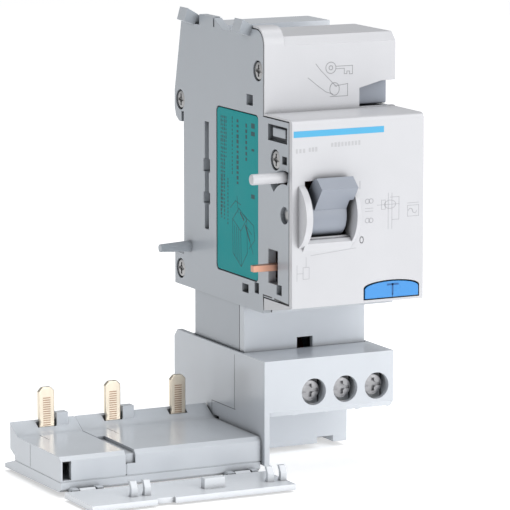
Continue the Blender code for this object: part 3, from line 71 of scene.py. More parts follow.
cameraSet = {"place": (-0.4173, -0.8437, 0.1358), "tilt": 80.66, "turn": -26.44, "lens": 269.2,
             "shift": (-0.0008, -0.0027), "sensor": 36, "near": 0.05, "far": 20}
lightSet = {"sky": 0.375, "seenSky": 1.05, "skyColour": (0.965, 0.98, 1.0, 1), "target": (0, -0.03, -0.01),
            "keyPower": 10.6, "keySize": 1.1, "keyPlace": (0.42, -1.25, 0.36),
            "topPower": 8.0, "topPlace": (0.15, -0.1, 1.25), "topSize": 0.8}
floorSet = {"reach": 6.0, "below": 0.0003}
floorLook = {"Base Color": (0.93, 0.93, 0.93, 1), "Roughness": 0.9, "Specular IOR Level": 0.1,
             "Emission Color": (1, 1, 1, 1), "Emission Strength": 0.5}


def setCamera():
    camera = bpy.data.objects.new("camera", bpy.data.cameras.new("camera"))
    scene.collection.objects.link(camera)
    camera.location = cameraSet["place"]
    camera.rotation_euler = (math.radians(cameraSet["tilt"]), 0, math.radians(cameraSet["turn"]))
    camera.data.lens = cameraSet["lens"]
    camera.data.sensor_width = cameraSet["sensor"]
    camera.data.shift_x, camera.data.shift_y = cameraSet["shift"]
    camera.data.clip_start = cameraSet["near"]
    camera.data.clip_end = cameraSet["far"]
    scene.camera = camera


def areaLight(name, place, size, power):
    light = bpy.data.objects.new(name, bpy.data.lights.new(name, "AREA"))
    light.data.shape = "SQUARE"
    light.data.size = size
    light.data.energy = power
    light.location = place
    aim = Vector(lightSet["target"]) - Vector(place)
    light.rotation_euler = aim.to_track_quat("-Z", "Y").to_euler()
    scene.collection.objects.link(light)


def setWorld():
    world = bpy.data.worlds.new("studio")
    world.use_nodes = True
    tree = world.node_tree
    background = tree.nodes["Background"]
    background.inputs["Color"].default_value = lightSet["skyColour"]
    rays = tree.nodes.new("ShaderNodeLightPath")
    power = tree.nodes.new("ShaderNodeMapRange")
    power.inputs["To Min"].default_value = lightSet["sky"]
    power.inputs["To Max"].default_value = lightSet["seenSky"]
    tree.links.new(rays.outputs["Is Camera Ray"], power.inputs["Value"])
    tree.links.new(power.outputs["Result"], background.inputs["Strength"])
    scene.world = world


def setFloor():
    mesh = bpy.data.meshes.new("floor")
    reach = floorSet["reach"]
    level = cadBox[0][2] - floorSet["below"]
    corners = [(-reach, -reach, level), (reach, -reach, level), (reach, reach, level), (-reach, reach, level)]
    mesh.from_pydata(corners, [], [(0, 1, 2, 3)])
    floor = bpy.data.objects.new("floor", mesh)
    scene.collection.objects.link(floor)
    paint = bpy.data.materials.new("pale floor")
    paint.use_nodes = True
    for name, value in floorLook.items():
        paint.node_tree.nodes["Principled BSDF"].inputs[name].default_value = value
    mesh.materials.append(paint)


scene.view_settings.view_transform = "Standard"
setCamera()
setWorld()
areaLight("key", lightSet["keyPlace"], lightSet["keySize"], lightSet["keyPower"])
areaLight("top", lightSet["topPlace"], lightSet["topSize"], lightSet["topPower"])
setFloor()
print("studio and camera are set")

# ---- materials


def addNode(tree, kind, **sockets):
    made = tree.nodes.new(kind)
    for name, value in sockets.items():
        made.inputs[name.replace("_", " ")].default_value = value
    return made


# Painted shade: settings for darkening the base colour in recesses, gaps and creases by an ambient occlusion
# node.
recessShadeSet = {"reach": 0.0028, "from": 0.25, "to": 0.75, "darkest": 0.14, "samples": 6}
plasticSet = {"cloudScale": 120.0, "cloudDetail": 3.0, "sheen": (0.85, 1.2), "speckScale": 2600.0,
              "speckDetail": 2.0, "bump": 0.00006}
metalSet = {"cloudScale": 900.0, "cloudDetail": 4.0, "sheen": (0.7, 1.4), "bump": 0.00005}
mixFactor, mixFirst, mixSecond, mixResult = 0, 6, 7, 2


def colourMix(tree, blend="MIX"):
    made = tree.nodes.new("ShaderNodeMix")
    made.data_type = "RGBA"
    made.blend_type = blend
    return made


def mottle(tree, clouds, colour, vary):
    shade = colourMix(tree)
    shade.inputs[mixFirst].default_value = (*[c * (1 - vary) for c in colour], 1)
    shade.inputs[mixSecond].default_value = (*[min(1, c * (1 + vary)) for c in colour], 1)
    tree.links.new(clouds.outputs["Fac"], shade.inputs[mixFactor])
    return shade.outputs[mixResult]


# Painted shade: the ambient occlusion node darkens the base colour in recesses and between parts, where shade
# falls.
def paintRecessShade(tree, colourOut):
    hollow = addNode(tree, "ShaderNodeAmbientOcclusion", Distance=recessShadeSet["reach"])
    hollow.samples = recessShadeSet["samples"]
    depth = addNode(tree, "ShaderNodeMapRange", From_Min=recessShadeSet["from"], From_Max=recessShadeSet["to"],
                    To_Min=recessShadeSet["darkest"], To_Max=1.0)
    tree.links.new(hollow.outputs["AO"], depth.inputs["Value"])
    darken = colourMix(tree, "MULTIPLY")
    darken.inputs[mixFactor].default_value = 1.0
    tree.links.new(colourOut, darken.inputs[mixFirst])
    tree.links.new(depth.outputs["Result"], darken.inputs[mixSecond])
    return darken.outputs[mixResult]


def addSheen(tree, clouds, shader, roughness, spread):
    gloss = addNode(tree, "ShaderNodeMapRange", To_Min=roughness * spread[0], To_Max=roughness * spread[1])
    tree.links.new(clouds.outputs["Fac"], gloss.inputs["Value"])
    tree.links.new(gloss.outputs["Result"], shader.inputs["Roughness"])


def addBump(tree, texture, shader, strength, distance):
    bump = addNode(tree, "ShaderNodeBump", Strength=strength, Distance=distance)
    tree.links.new(texture.outputs["Fac"], bump.inputs["Height"])
    tree.links.new(bump.outputs["Normal"], shader.inputs["Normal"])


def mouldedPlastic(name, colour, roughness, grain=0.05, vary=0.03, specular=0.5, recessShade=True):
    paint = bpy.data.materials.new(name)
    paint.use_nodes = True
    tree = paint.node_tree
    shader = tree.nodes["Principled BSDF"]
    shader.inputs["Specular IOR Level"].default_value = specular
    where = tree.nodes.new("ShaderNodeTexCoord")
    clouds = addNode(tree, "ShaderNodeTexNoise", Scale=plasticSet["cloudScale"],
                     Detail=plasticSet["cloudDetail"])
    tree.links.new(where.outputs["Object"], clouds.inputs["Vector"])
    colourOut = mottle(tree, clouds, colour, vary)
    # painted shade in recesses, unless turned off
    if recessShade:
        colourOut = paintRecessShade(tree, colourOut)
    tree.links.new(colourOut, shader.inputs["Base Color"])
    addSheen(tree, clouds, shader, roughness, plasticSet["sheen"])
    specks = addNode(tree, "ShaderNodeTexNoise", Scale=plasticSet["speckScale"],
                     Detail=plasticSet["speckDetail"])
    tree.links.new(where.outputs["Object"], specks.inputs["Vector"])
    addBump(tree, specks, shader, grain, plasticSet["bump"])
    return paint


def metal(name, colour, roughness, grain=0.1, stretch=(1, 1, 1), vary=0.08):
    paint = bpy.data.materials.new(name)
    paint.use_nodes = True
    tree = paint.node_tree
    shader = tree.nodes["Principled BSDF"]
    shader.inputs["Metallic"].default_value = 1.0
    where = tree.nodes.new("ShaderNodeTexCoord")
    place = addNode(tree, "ShaderNodeMapping", Scale=stretch)
    tree.links.new(where.outputs["Object"], place.inputs["Vector"])
    clouds = addNode(tree, "ShaderNodeTexNoise", Scale=metalSet["cloudScale"], Detail=metalSet["cloudDetail"])
    tree.links.new(place.outputs["Vector"], clouds.inputs["Vector"])
    tree.links.new(mottle(tree, clouds, colour, vary), shader.inputs["Base Color"])
    addSheen(tree, clouds, shader, roughness, metalSet["sheen"])
    addBump(tree, clouds, shader, grain, metalSet["bump"])
    return paint


finishes = {
    # Painted shade: this grey is darker than the light grey plastic and stands for the shade on the housing's
    # left side; the moulding is likely the same light grey plastic as the carriage.
    "grey_housing_plastic": mouldedPlastic("grey plastic darkened for side shade", (0.415, 0.445, 0.48), 0.30),
    "light_grey_plastic": mouldedPlastic("light grey plastic", (0.59, 0.62, 0.66), 0.20),
    "white_cover_plastic": mouldedPlastic("white cover plastic", (0.575, 0.578, 0.60), 0.32),
    "toggle_plastic": mouldedPlastic("toggle plastic", (0.27, 0.295, 0.345), 0.32),
    "blue_button_plastic": mouldedPlastic("blue button plastic", (0.045, 0.27, 0.66), 0.28),
    "teal_label_film": mouldedPlastic("teal label film", (0.001, 0.30, 0.31), 0.55, grain=0.02,
                                      specular=0.25, recessShade=False),
    "zinc_steel": metal("zinc plated steel", (0.40, 0.40, 0.40), 0.36, grain=0.3),
    "copper": metal("bare copper", (0.60, 0.33, 0.24), 0.42),
    "tinned_brass": metal("tinned brass", (0.76, 0.68, 0.56), 0.33, stretch=(1, 1, 0.2), vary=0.14),
    "dark_core": metal("tape wound core", (0.10, 0.10, 0.11), 0.4, stretch=(0.2, 0.2, 6)),
    "amber_winding": mouldedPlastic("enamelled winding", (0.50, 0.22, 0.06), 0.3),
    "black_insulation": mouldedPlastic("black insulation", (0.02, 0.02, 0.022), 0.5),
}
# Print inks; the dark seam ink draws the seams and also the painted shadow in the latch pocket.
inkColours = {"dark": (0.012, 0.075, 0.085), "grey": (0.27, 0.275, 0.29), "pale": (0.40, 0.405, 0.43),
              "faint": (0.48, 0.482, 0.50), "blue": (0.075, 0.40, 0.66), "seam_and_shade": (0.06, 0.065, 0.075),
              "deepBlue": (0.012, 0.10, 0.30), "shadow": (0.015, 0.015, 0.018)}
inkRoughness = 0.55
inks = {name: mouldedPlastic(name + " print", colour, inkRoughness, grain=0.0, recessShade=False)
        for name, colour in inkColours.items()}
# Painted light: the flap gets a paler copy of its plastic, standing for light on it that the lamps here don't
# give; the real flap is likely the same plastic as its slot.
litCopyPaint = {"flap": mouldedPlastic("flap plastic painted paler as light", (0.74, 0.765, 0.80), 0.20)}
# Painted shade: a darker, more mottled copy of the zinc steel for the terminal screws, standing for the shade
# in their deep holes.
shadedSteel = metal("steel darkened as shade in a hole", (0.30, 0.30, 0.31), 0.30, grain=0.5, vary=0.35)
# A darker brown metal for the ridges on the blades, set apart from the tinned brass.
ridgeBrownMetal = metal("darker brown ridge metal", (0.42, 0.29, 0.21), 0.4)
print("materials are made")

# ---- finished copies of the frame's pieces, with rounded edges: bevel widths in millimetres

bevels = {"left_shell": 0.22, "right_shell": 0.35, "front_cover": 0.25, "carriage_shell": 0.35, "toggle": 0.5,
          "tray_base": 0.3, "tray_cover": 0.4, "tray_end_cover": 0.4, "flap": 0.25, "test_button": 0.18,
          "lock_button": 0.35, "rail_latch": 0.3, "link_pin": 0.35, "link_arm": 0.15, "trip_lever": 0.2,
          "input_blade_1": 0.4, "input_blade_2": 0.4, "input_blade_3": 0.4}
plainBevel = 0.12
mendSet = {"weld": 2e-6, "flat": 0.4}
roundSet = {"segments": 2, "angle": 32, "weight": 100}


def looseCopy(name, node):
    mesh = nodes[node].data.copy()
    mesh.materials.clear()
    made = bmesh.new()
    made.from_mesh(mesh)
    bmesh.ops.remove_doubles(made, verts=made.verts, dist=mendSet["weld"])
    flat = math.radians(mendSet["flat"])
    bmesh.ops.dissolve_limit(made, angle_limit=flat, verts=made.verts, edges=made.edges)
    made.to_mesh(mesh)
    made.free()
    mesh.name = name
    piece = bpy.data.objects.new(name, mesh)
    scene.collection.objects.link(piece)
    return piece


def applied(piece):
    bpy.context.view_layer.update()
    shown = piece.evaluated_get(bpy.context.evaluated_depsgraph_get())
    mesh = bpy.data.meshes.new_from_object(shown)
    old = piece.data
    piece.modifiers.clear()
    piece.data = mesh
    if old.users == 0:
        bpy.data.meshes.remove(old)
    return piece


def roundEdges(piece, width):
    for polygon in piece.data.polygons:
        polygon.use_smooth = True
    bevel = piece.modifiers.new("rounded edges", "BEVEL")
    bevel.width = width * mm
    bevel.segments = roundSet["segments"]
    bevel.limit_method = "ANGLE"
    bevel.angle_limit = math.radians(roundSet["angle"])
    bevel.use_clamp_overlap = True
    weigh = piece.modifiers.new("flat faces stay flat", "WEIGHTED_NORMAL")
    weigh.weight = roundSet["weight"]
    weigh.keep_sharp = True
    return applied(piece)


def settle(piece, body, slot, *replaced):
    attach(piece, body)
    if replaced:
        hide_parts(*replaced)
    return piece


ownMade = {"housing_screw_1", "housing_screw_2", "housing_screw_3", "housing_screw_4",
           "terminal_screw_1", "terminal_screw_2", "terminal_screw_3"}
plainKept = {"lock_spring", "test_spring", "toggle_spring", "transformer_core", "secondary_winding",
             "primary_conductor_1", "primary_conductor_2", "primary_conductor_3", "flexible_lead_1",
             "flexible_lead_2", "flexible_lead_3", "test_resistor", "relay_plunger", "lever_pivot",
             "toggle_shaft", "flap_hinge_pin_1", "flap_hinge_pin_2"}
finished = 0
for node in sorted(nodes):
    if node in ownMade:
        continue
    if node in plainKept:
        nodes[node].data.materials.clear()
        nodes[node].data.materials.append(finishes[slotOf[node]])
        continue
    piece = looseCopy("visual_" + node, node)
    roundEdges(piece, bevels.get(node, plainBevel))
    piece.data.materials.clear()
    piece.data.materials.append(litCopyPaint.get(node, finishes[slotOf[node]]))
    settle(piece, bodyOf[node], slotOf[node], node)
    finished += 1
print("rounded pieces:", finished)

# ---- flat print and seams: strokes of a width along points in one plane, all in millimetres

strokeProud = 0.02


def stroke(made, plane, level, points, width, closed=False):
    ends = list(zip(points, points[1:] + points[:1] if closed else points[1:]))
    half = width * mm / 2
    thick = strokeProud * mm
    for (a1, b1), (a2, b2) in ends:
        a1, b1, a2, b2 = a1 * mm, b1 * mm, a2 * mm, b2 * mm
        length = math.hypot(a2 - a1, b2 - b1) or 1e-9
        da, db = (a2 - a1) / length * half, (b2 - b1) / length * half
        corners = [(a1 - da + db, b1 - db - da), (a2 + da + db, b2 + db - da),
                   (a2 + da - db, b2 + db + da), (a1 - da - db, b1 - db + da)]
        rings = []
        for step in (thick, -thick):
            rings.append([made.verts.new(lift(plane, a, b, level * mm + step)) for a, b in corners])
        made.faces.new(rings[0])
        made.faces.new(rings[1][::-1])
        for k in range(4):
            made.faces.new((rings[0][k], rings[1][k], rings[1][(k + 1) % 4], rings[0][(k + 1) % 4]))


def lift(plane, a, b, level):
    if plane == "X":
        return (level, a, b)
    if plane == "Y":
        return (a, level, b)
    return (a, b, level)


def arcPoints(centre, radius, start, end, count=16, squeeze=1.0):
    turns = [math.radians(start + (end - start) * k / (count - 1)) for k in range(count)]
    return [(centre[0] + radius * squeeze * math.cos(a), centre[1] + radius * math.sin(a)) for a in turns]


def printPiece(name, plane, level, lines, width, paint, body, slot):
    made = bmesh.new()
    for line in lines:
        closed = isinstance(line, dict)
        stroke(made, plane, level, line["loop"] if closed else line, width, closed)
    bmesh.ops.recalc_face_normals(made, faces=made.faces)
    mesh = bpy.data.meshes.new(name)
    made.to_mesh(mesh)
    made.free()
    mesh.materials.append(paint)
    piece = bpy.data.objects.new(name, mesh)
    scene.collection.objects.link(piece)
    return settle(piece, body, slot)


def coverPrint(name, level, lines, width, ink):
    return printPiece(name, "Y", level, lines, width, inks[ink], "housing", "white_cover_plastic")


def buttonPrint(name, lines, width):
    return printPiece(name, "Y", buttonFace, lines, width, inks["deepBlue"], "test_button",
                      "blue_button_plastic")


plateLevel = -59.0
upperLevel = -44.6
coverPrint("plate_stripe", plateLevel, [[(-16.4, 18.95), (6.0, 18.95)]], 1.5, "blue")
zero = {"loop": arcPoints((0.9, -7.1), 0.75, 0, 340, 18, 0.62)}
coverPrint("switch_marks", plateLevel, [[(0.4, 5.1), (0.4, 6.9)], zero], 0.18, "pale")
circuit = [
    [(8.0, 3.6), (8.0, -5.0)],
    [(9.0, 3.6), (9.0, -5.0)],
    [(8.5, 2.6), (10.9, 2.6)],
    [(10.9, 2.6), (10.9, -2.8)],
    [(10.9, -2.8), (9.0, -2.8)],
    [(5.0, 0.9), (11.0, 0.9)],
    {"loop": arcPoints((8.5, 0.9), 1.0, 0, 345, 20, 1.5)},
    {"loop": [(6.2, 2.0), (7.2, 2.0), (7.2, -0.2), (6.2, -0.2)]},
    *[{"loop": arcPoints((x, z), 0.55, 0, 340, 14)} for z in (2.0, -2.6) for x in (2.4, 3.4)],
    [(1.9, -0.4), (3.9, -0.4)],
    [(1.9, 0.3), (3.9, 0.3)],
    [(13.2, 0.9), (16.2, 0.9)],
    {"loop": [(13.2, 0.3), (16.2, 0.3), (16.2, -2.3), (13.2, -2.3)]},
    arcPoints((14.0, -1.0), 0.55, 0, 180, 9),
    arcPoints((15.1, -1.0), 0.55, 180, 360, 9),
    {"loop": [(-14.6, -12.6), (-13.0, -12.6), (-13.0, -15.4), (-14.6, -15.4)]},
    [(-16.2, -12.0), (-16.2, -15.8)],
    [(-16.2, -14.0), (-14.6, -14.0)],
    [(-13.8, -12.6), (-13.8, -10.2)],
    [(-12.6, -9.9), (-0.6, -8.9)],
]
coverPrint("circuit_print", plateLevel, circuit, 0.1, "pale")
keySign = [
    {"loop": arcPoints((0.1, 32.3), 1.35, 0, 345, 22)},
    {"loop": arcPoints((0.1, 32.3), 0.5, 0, 340, 12)},
    [(1.5, 32.6), (5.9, 32.6), (5.9, 30.6), (5.1, 30.6), (5.1, 31.3), (4.4, 31.3), (4.4, 30.7), (3.7, 30.7),
     (3.7, 32.0), (1.5, 32.0)],
    [(1.2, 27.9), (4.6, 28.3), (4.6, 25.4), (-0.1, 25.4)],
    [(-3.9, 33.4), (-2.6, 31.8), (1.6, 27.7)],
    [(-6.0, 30.2), (-3.2, 28.0), (-1.2, 26.6), (0.6, 26.0)],
    {"loop": arcPoints((1.1, 27.2), 1.5, 10, 345, 22, 0.85)},
]
coverPrint("key_sign", upperLevel, keySign, 0.13, "grey")
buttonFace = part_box("test_button")[0].y / mm
buttonPrint("test_letter", [[(7.9, -18.3), (10.6, -18.3)], [(9.2, -18.3), (9.2, -20.6)]], 0.45)
buttonPrint("test_split", [[(9.2, -20.6), (9.2, -21.2)]], 0.2)
print("front print is made")

# ---- seams on the carriage and the tray

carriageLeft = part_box("carriage_shell")[0].x
leftFace = carriageLeft / mm
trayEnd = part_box("tray_end_cover")[0].x / mm
trayTop = -55.9


def carriageSeam(name, plane, level, lines, width):
    return printPiece(name, plane, level, lines, width, inks["seam_and_shade"], "carriage", "light_grey_plastic")


sideSeams = [[(-28.3, -38.4), (-28.3, -51.8)], [(-28.7, -51.85), (-15.7, -51.85)],
             [(-15.7, -51.85), (-15.7, -55.6)]]
carriageSeam("side_seams", "X", leftFace, sideSeams, 0.14)
shadowGap = [[(-43.9, -21.2), (-48.4, -21.2)], [(-49.9, -21.3), (-57.0, -21.6)],
             [(-43.9, -21.2), (-44.2, -24.7)]]
printPiece("foot_gap", "X", leftFace, shadowGap, 0.3, inks["shadow"], "housing", "grey_housing_plastic")
traySeams = [[(-64.4, -17.6), (-64.4, -23.4)], [(-46.6, -17.6), (-46.6, -24.3)]]
carriageSeam("tray_seams", "Z", trayTop, traySeams, 0.14)
carriageSeam("end_seam", "X", trayEnd, [[(-25.0, -56.2), (-25.0, -61.5)]], 0.12)
print("seams are made")

# ---- strips that close the joints between the mouldings from behind


def shapedMesh(name, build):
    made = bmesh.new()
    build(made)
    bmesh.ops.recalc_face_normals(made, faces=made.faces)
    mesh = bpy.data.meshes.new(name)
    made.to_mesh(mesh)
    made.free()
    piece = bpy.data.objects.new(name, mesh)
    scene.collection.objects.link(piece)
    return piece


def stripPiece(name, outline, low, high):
    def build(made):
        ends = [[made.verts.new((x * mm, y * mm, z * mm)) for y, z in outline] for x in (low, high)]
        made.faces.new(ends[0])
        made.faces.new(ends[1][::-1])
        for k in range(len(outline)):
            after = (k + 1) % len(outline)
            made.faces.new((ends[0][k], ends[1][k], ends[1][after], ends[0][after]))
    piece = shapedMesh(name, build)
    piece.data.materials.append(finishes["light_grey_plastic"])
    return settle(piece, "carriage", "light_grey_plastic")


sunk = 0.12
trayFront, trayRear, trayLip, stripLow = -43.0, -12.6, -53.1, -61.8
jointOutline = [(trayFront + sunk, stripLow), (trayFront + sunk, -59.1), (-25.1, -59.1),
                (-25.1, trayTop - sunk), (-17.4, trayTop - sunk), (trayRear - sunk, trayLip - sunk),
                (trayRear - sunk, -59.4), (-15.2, -60.8), (-15.2, stripLow)]
sideOutline = [(trayFront + sunk, stripLow), (trayFront + sunk, trayTop - 1.1), (-42.1, trayTop - sunk),
               (-17.4, trayTop - sunk), (-14.0, -54.4), (-14.0, stripLow)]
stripPiece("tray_joint_strip", jointOutline, -53.32, -52.88)
stripPiece("carriage_joint_strip", sideOutline, -17.85, -17.45)


def boxOutline(front, rear, low=-62.15, high=-61.55):
    return [(front, low), (front, high), (rear, high), (rear, low)]


stripPiece("tray_front_strip", boxOutline(trayFront + sunk, trayFront + 0.8), -69.8, -17.9)
stripPiece("tray_end_strip", boxOutline(trayFront + 0.2, -15.4), -69.9, -69.4)
print("joint strips are made")

# ---- screws, placed by geometry nodes on their spots


def lathe(profile, sides=40):
    def build(made):
        rings = []
        for radius, height in profile:
            if radius == 0:
                rings.append([made.verts.new((0, 0, height))])
                continue
            turns = [2 * math.pi * k / sides for k in range(sides)]
            circle = [(radius * math.cos(a), radius * math.sin(a), height) for a in turns]
            rings.append([made.verts.new(spot) for spot in circle])
        for low, high in zip(rings, rings[1:]):
            for k in range(sides):
                after = (k + 1) % sides
                corners = [low[k % len(low)], low[after % len(low)],
                           high[after % len(high)], high[k % len(high)]]
                unique = list(dict.fromkeys(corners))
                if len(unique) > 2:
                    made.faces.new(unique)
    return build


def cut(piece, *cutters):
    for cutter in cutters:
        change = piece.modifiers.new("cut", "BOOLEAN")
        change.operation = "DIFFERENCE"
        change.solver = "EXACT"
        change.object = cutter
    applied(piece)
    for cutter in cutters:
        bpy.data.objects.remove(cutter, do_unlink=True)
    return piece


def boxShape(name, low, high):
    def build(made):
        bmesh.ops.create_cube(made, size=1)
        for vertex in made.verts:
            vertex.co = [low[k] + (vertex.co[k] + 0.5) * (high[k] - low[k]) for k in range(3)]
    return shapedMesh(name, build)


def screwForm(name, size):
    head, shank, headHigh, long = (size[key] * mm for key in ("head", "shank", "headHigh", "long"))
    rim = screwRim["width"] * mm
    crown = (head * screwRim["flat"], headHigh)
    shoulder = (head - rim, headHigh - rim * screwRim["slope"])
    edge = (head, headHigh - rim * screwRim["drop"])
    profile = [(0, headHigh), crown, shoulder, edge, (head, rim), (head - rim, 0), (shank, 0), (shank, -long),
               (0, -long)]
    piece = shapedMesh(name, lathe(profile))
    floor = headHigh - size["deep"] * mm
    cutters = []
    for turn, (reach, half) in size["blades"]:
        cutter = boxShape("blade", (-reach * mm, -half * mm, floor), (reach * mm, half * mm, headHigh + mm))
        cutter.data.transform(Matrix.Rotation(math.radians(turn), 4, "Z"))
        cutters.append(cutter)
    cut(piece, *cutters)
    for polygon in piece.data.polygons:
        polygon.use_smooth = True
    piece.data.set_sharp_from_angle(angle=math.radians(roundSet["angle"]))
    return piece


def treeWith(name, inputs):
    tree = bpy.data.node_groups.new(name, "GeometryNodeTree")
    tree.interface.new_socket("Geometry", in_out="INPUT", socket_type="NodeSocketGeometry")
    for socket, kind in inputs:
        tree.interface.new_socket(socket, in_out="INPUT", socket_type="NodeSocket" + kind)
    tree.interface.new_socket("Geometry", in_out="OUTPUT", socket_type="NodeSocketGeometry")
    return tree, tree.nodes.new("NodeGroupInput"), tree.nodes.new("NodeGroupOutput")


def realized(tree, start, end, spread):
    whole = tree.nodes.new("GeometryNodeRealizeInstances")
    colour = tree.nodes.new("GeometryNodeSetMaterial")
    tree.links.new(spread.outputs["Instances"], whole.inputs["Geometry"])
    tree.links.new(whole.outputs["Geometry"], colour.inputs["Geometry"])
    tree.links.new(start.outputs["Paint"], colour.inputs["Material"])
    tree.links.new(colour.outputs["Geometry"], end.inputs["Geometry"])


def placingTree():
    inputs = (("Form", "Object"), ("Turn", "Vector"), ("Paint", "Material"))
    tree, start, end = treeWith("place forms", inputs)
    form = tree.nodes.new("GeometryNodeObjectInfo")
    points = tree.nodes.new("GeometryNodeMeshToPoints")
    spread = tree.nodes.new("GeometryNodeInstanceOnPoints")
    tree.links.new(start.outputs["Geometry"], points.inputs["Mesh"])
    tree.links.new(start.outputs["Form"], form.inputs["Object"])
    tree.links.new(points.outputs["Points"], spread.inputs["Points"])
    tree.links.new(form.outputs["Geometry"], spread.inputs["Instance"])
    tree.links.new(start.outputs["Turn"], spread.inputs["Rotation"])
    realized(tree, start, end, spread)
    return tree


placeForms = placingTree()


def setInput(change, name, value):
    for item in change.node_group.interface.items_tree:
        if item.item_type == "SOCKET" and item.in_out == "INPUT" and item.name == name:
            change[item.identifier] = value


def placed(name, spots, form, turn, paint):
    mesh = bpy.data.meshes.new(name)
    mesh.from_pydata(spots, [], [])
    piece = bpy.data.objects.new(name, mesh)
    scene.collection.objects.link(piece)
    change = piece.modifiers.new("place forms", "NODES")
    change.node_group = placeForms
    setInput(change, "Form", form)
    setInput(change, "Turn", turn)
    setInput(change, "Paint", paint)
    return applied(piece)


screwRim = {"width": 0.18, "flat": 0.6, "slope": 0.4, "drop": 1.4}
housingScrew = {"head": 2.2, "shank": 0.9, "headHigh": 0.7, "long": 8.9, "deep": 0.5,
                "blades": [(0, (1.45, 0.32)), (90, (1.45, 0.32)), (45, (0.8, 0.2)), (135, (0.8, 0.2))]}
terminalScrew = {"head": 2.55, "shank": 1.5, "headHigh": 0.75, "long": 3.1, "deep": 0.7, "seat": 1.2,
                 "blades": [(0, (2.2, 0.45)), (90, (1.6, 0.45)), (45, (0.9, 0.25)), (135, (0.9, 0.25))]}
houseForm = screwForm("house screw form", housingScrew)
screwNodes = [f"housing_screw_{k}" for k in (1, 2, 3, 4)]
spots = []
for node in screwNodes:
    low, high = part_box(node)
    spots.append((low.x + housingScrew["headHigh"] * mm, (low.y + high.y) / 2, (low.z + high.z) / 2))
faceLeft = (0, -math.pi / 2, 0)
screws = placed("visual_housing_screws", spots, houseForm, faceLeft, finishes["zinc_steel"])
settle(screws, "housing", "zinc_steel", *screwNodes)
terminalForm = screwForm("terminal screw form", terminalScrew)
faceFront = (math.pi / 2, 0, 0)
for k in (1, 2, 3):
    node = f"terminal_screw_{k}"
    low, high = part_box(node)
    spot = ((low.x + high.x) / 2, low.y + terminalScrew["seat"] * mm, (low.z + high.z) / 2)
    piece = placed("visual_" + node, [spot], terminalForm, faceFront, shadedSteel)
    settle(piece, bodyOf[node], "zinc_steel", node)
for form in (houseForm, terminalForm):
    bpy.data.objects.remove(form, do_unlink=True)
print("screws are placed")

# ---- the block in the latch pocket, with a painted shadow on the pocket floor

pocketSet = {"floor": -16.4, "face": -17.25, "front": -54.8, "rear": -48.3, "low": 17.4, "high": 19.6,
             "bevel": 0.25, "shadeMiddle": 18.25, "shadeFront": -56.0, "shadeRear": -46.7, "shadeHigh": 3.6}
pocketNear = [pocketSet[key] * mm for key in ("face", "front", "low")]
pocketFar = [pocketSet[key] * mm for key in ("floor", "rear", "high")]
pocketBlock = boxShape("pocket_block", pocketNear, pocketFar)
roundEdges(pocketBlock, pocketSet["bevel"])
pocketBlock.data.materials.clear()
pocketBlock.data.materials.append(finishes["grey_housing_plastic"])
settle(pocketBlock, "housing", "grey_housing_plastic")
# Painted shadow: a dark strip in the seam ink on the pocket floor stands for the shade around the block.
shadeEnds = [(pocketSet[key], pocketSet["shadeMiddle"]) for key in ("shadeFront", "shadeRear")]
printPiece("pocket_shadow", "X", pocketSet["floor"], [shadeEnds], pocketSet["shadeHigh"], inks["seam_and_shade"],
           "housing", "grey_housing_plastic")
print("latch pocket is filled")

# ---- rows of fine print on the label, from a seeded geometry nodes tree


def rowTree():
    inputs = (("Count", "Int"), ("Step", "Vector"), ("Start", "Vector"), ("Smallest", "Vector"),
              ("Largest", "Vector"), ("Seed", "Int"), ("Paint", "Material"))
    tree, start, end = treeWith("print rows", inputs)
    line = tree.nodes.new("GeometryNodeMeshLine")
    bar = tree.nodes.new("GeometryNodeMeshCube")
    spread = tree.nodes.new("GeometryNodeInstanceOnPoints")
    size = tree.nodes.new("FunctionNodeRandomValue")
    size.data_type = "FLOAT_VECTOR"
    bar.inputs["Size"].default_value = (1, 1, 1)
    tree.links.new(start.outputs["Count"], line.inputs["Count"])
    tree.links.new(start.outputs["Step"], line.inputs["Offset"])
    tree.links.new(start.outputs["Start"], line.inputs["Start Location"])
    tree.links.new(start.outputs["Smallest"], size.inputs[0])
    tree.links.new(start.outputs["Largest"], size.inputs[1])
    tree.links.new(start.outputs["Seed"], size.inputs["Seed"])
    tree.links.new(line.outputs["Mesh"], spread.inputs["Points"])
    tree.links.new(bar.outputs["Mesh"], spread.inputs["Instance"])
    tree.links.new(size.outputs["Value"], spread.inputs["Scale"])
    realized(tree, start, end, spread)
    return tree


rowsOfPrint = rowTree()


def printRow(name, count, step, start, smallest, largest, seed, paint):
    mesh = bpy.data.meshes.new(name)
    piece = bpy.data.objects.new(name, mesh)
    scene.collection.objects.link(piece)
    change = piece.modifiers.new("print rows", "NODES")
    change.node_group = rowsOfPrint
    for key, value in (("Count", count), ("Seed", seed), ("Paint", paint)):
        setInput(change, key, value)
    for key, value in (("Step", step), ("Start", start), ("Smallest", smallest), ("Largest", largest)):
        setInput(change, key, [part * mm for part in value])
    return applied(piece)


def joined(name, pieces):
    made = bmesh.new()
    for piece in pieces:
        made.from_mesh(piece.data)
    mesh = bpy.data.meshes.new(name)
    made.to_mesh(mesh)
    made.free()
    for paint in pieces[0].data.materials:
        mesh.materials.append(paint)
    for piece in pieces:
        bpy.data.objects.remove(piece, do_unlink=True)
    whole = bpy.data.objects.new(name, mesh)
    scene.collection.objects.link(whole)
    return whole


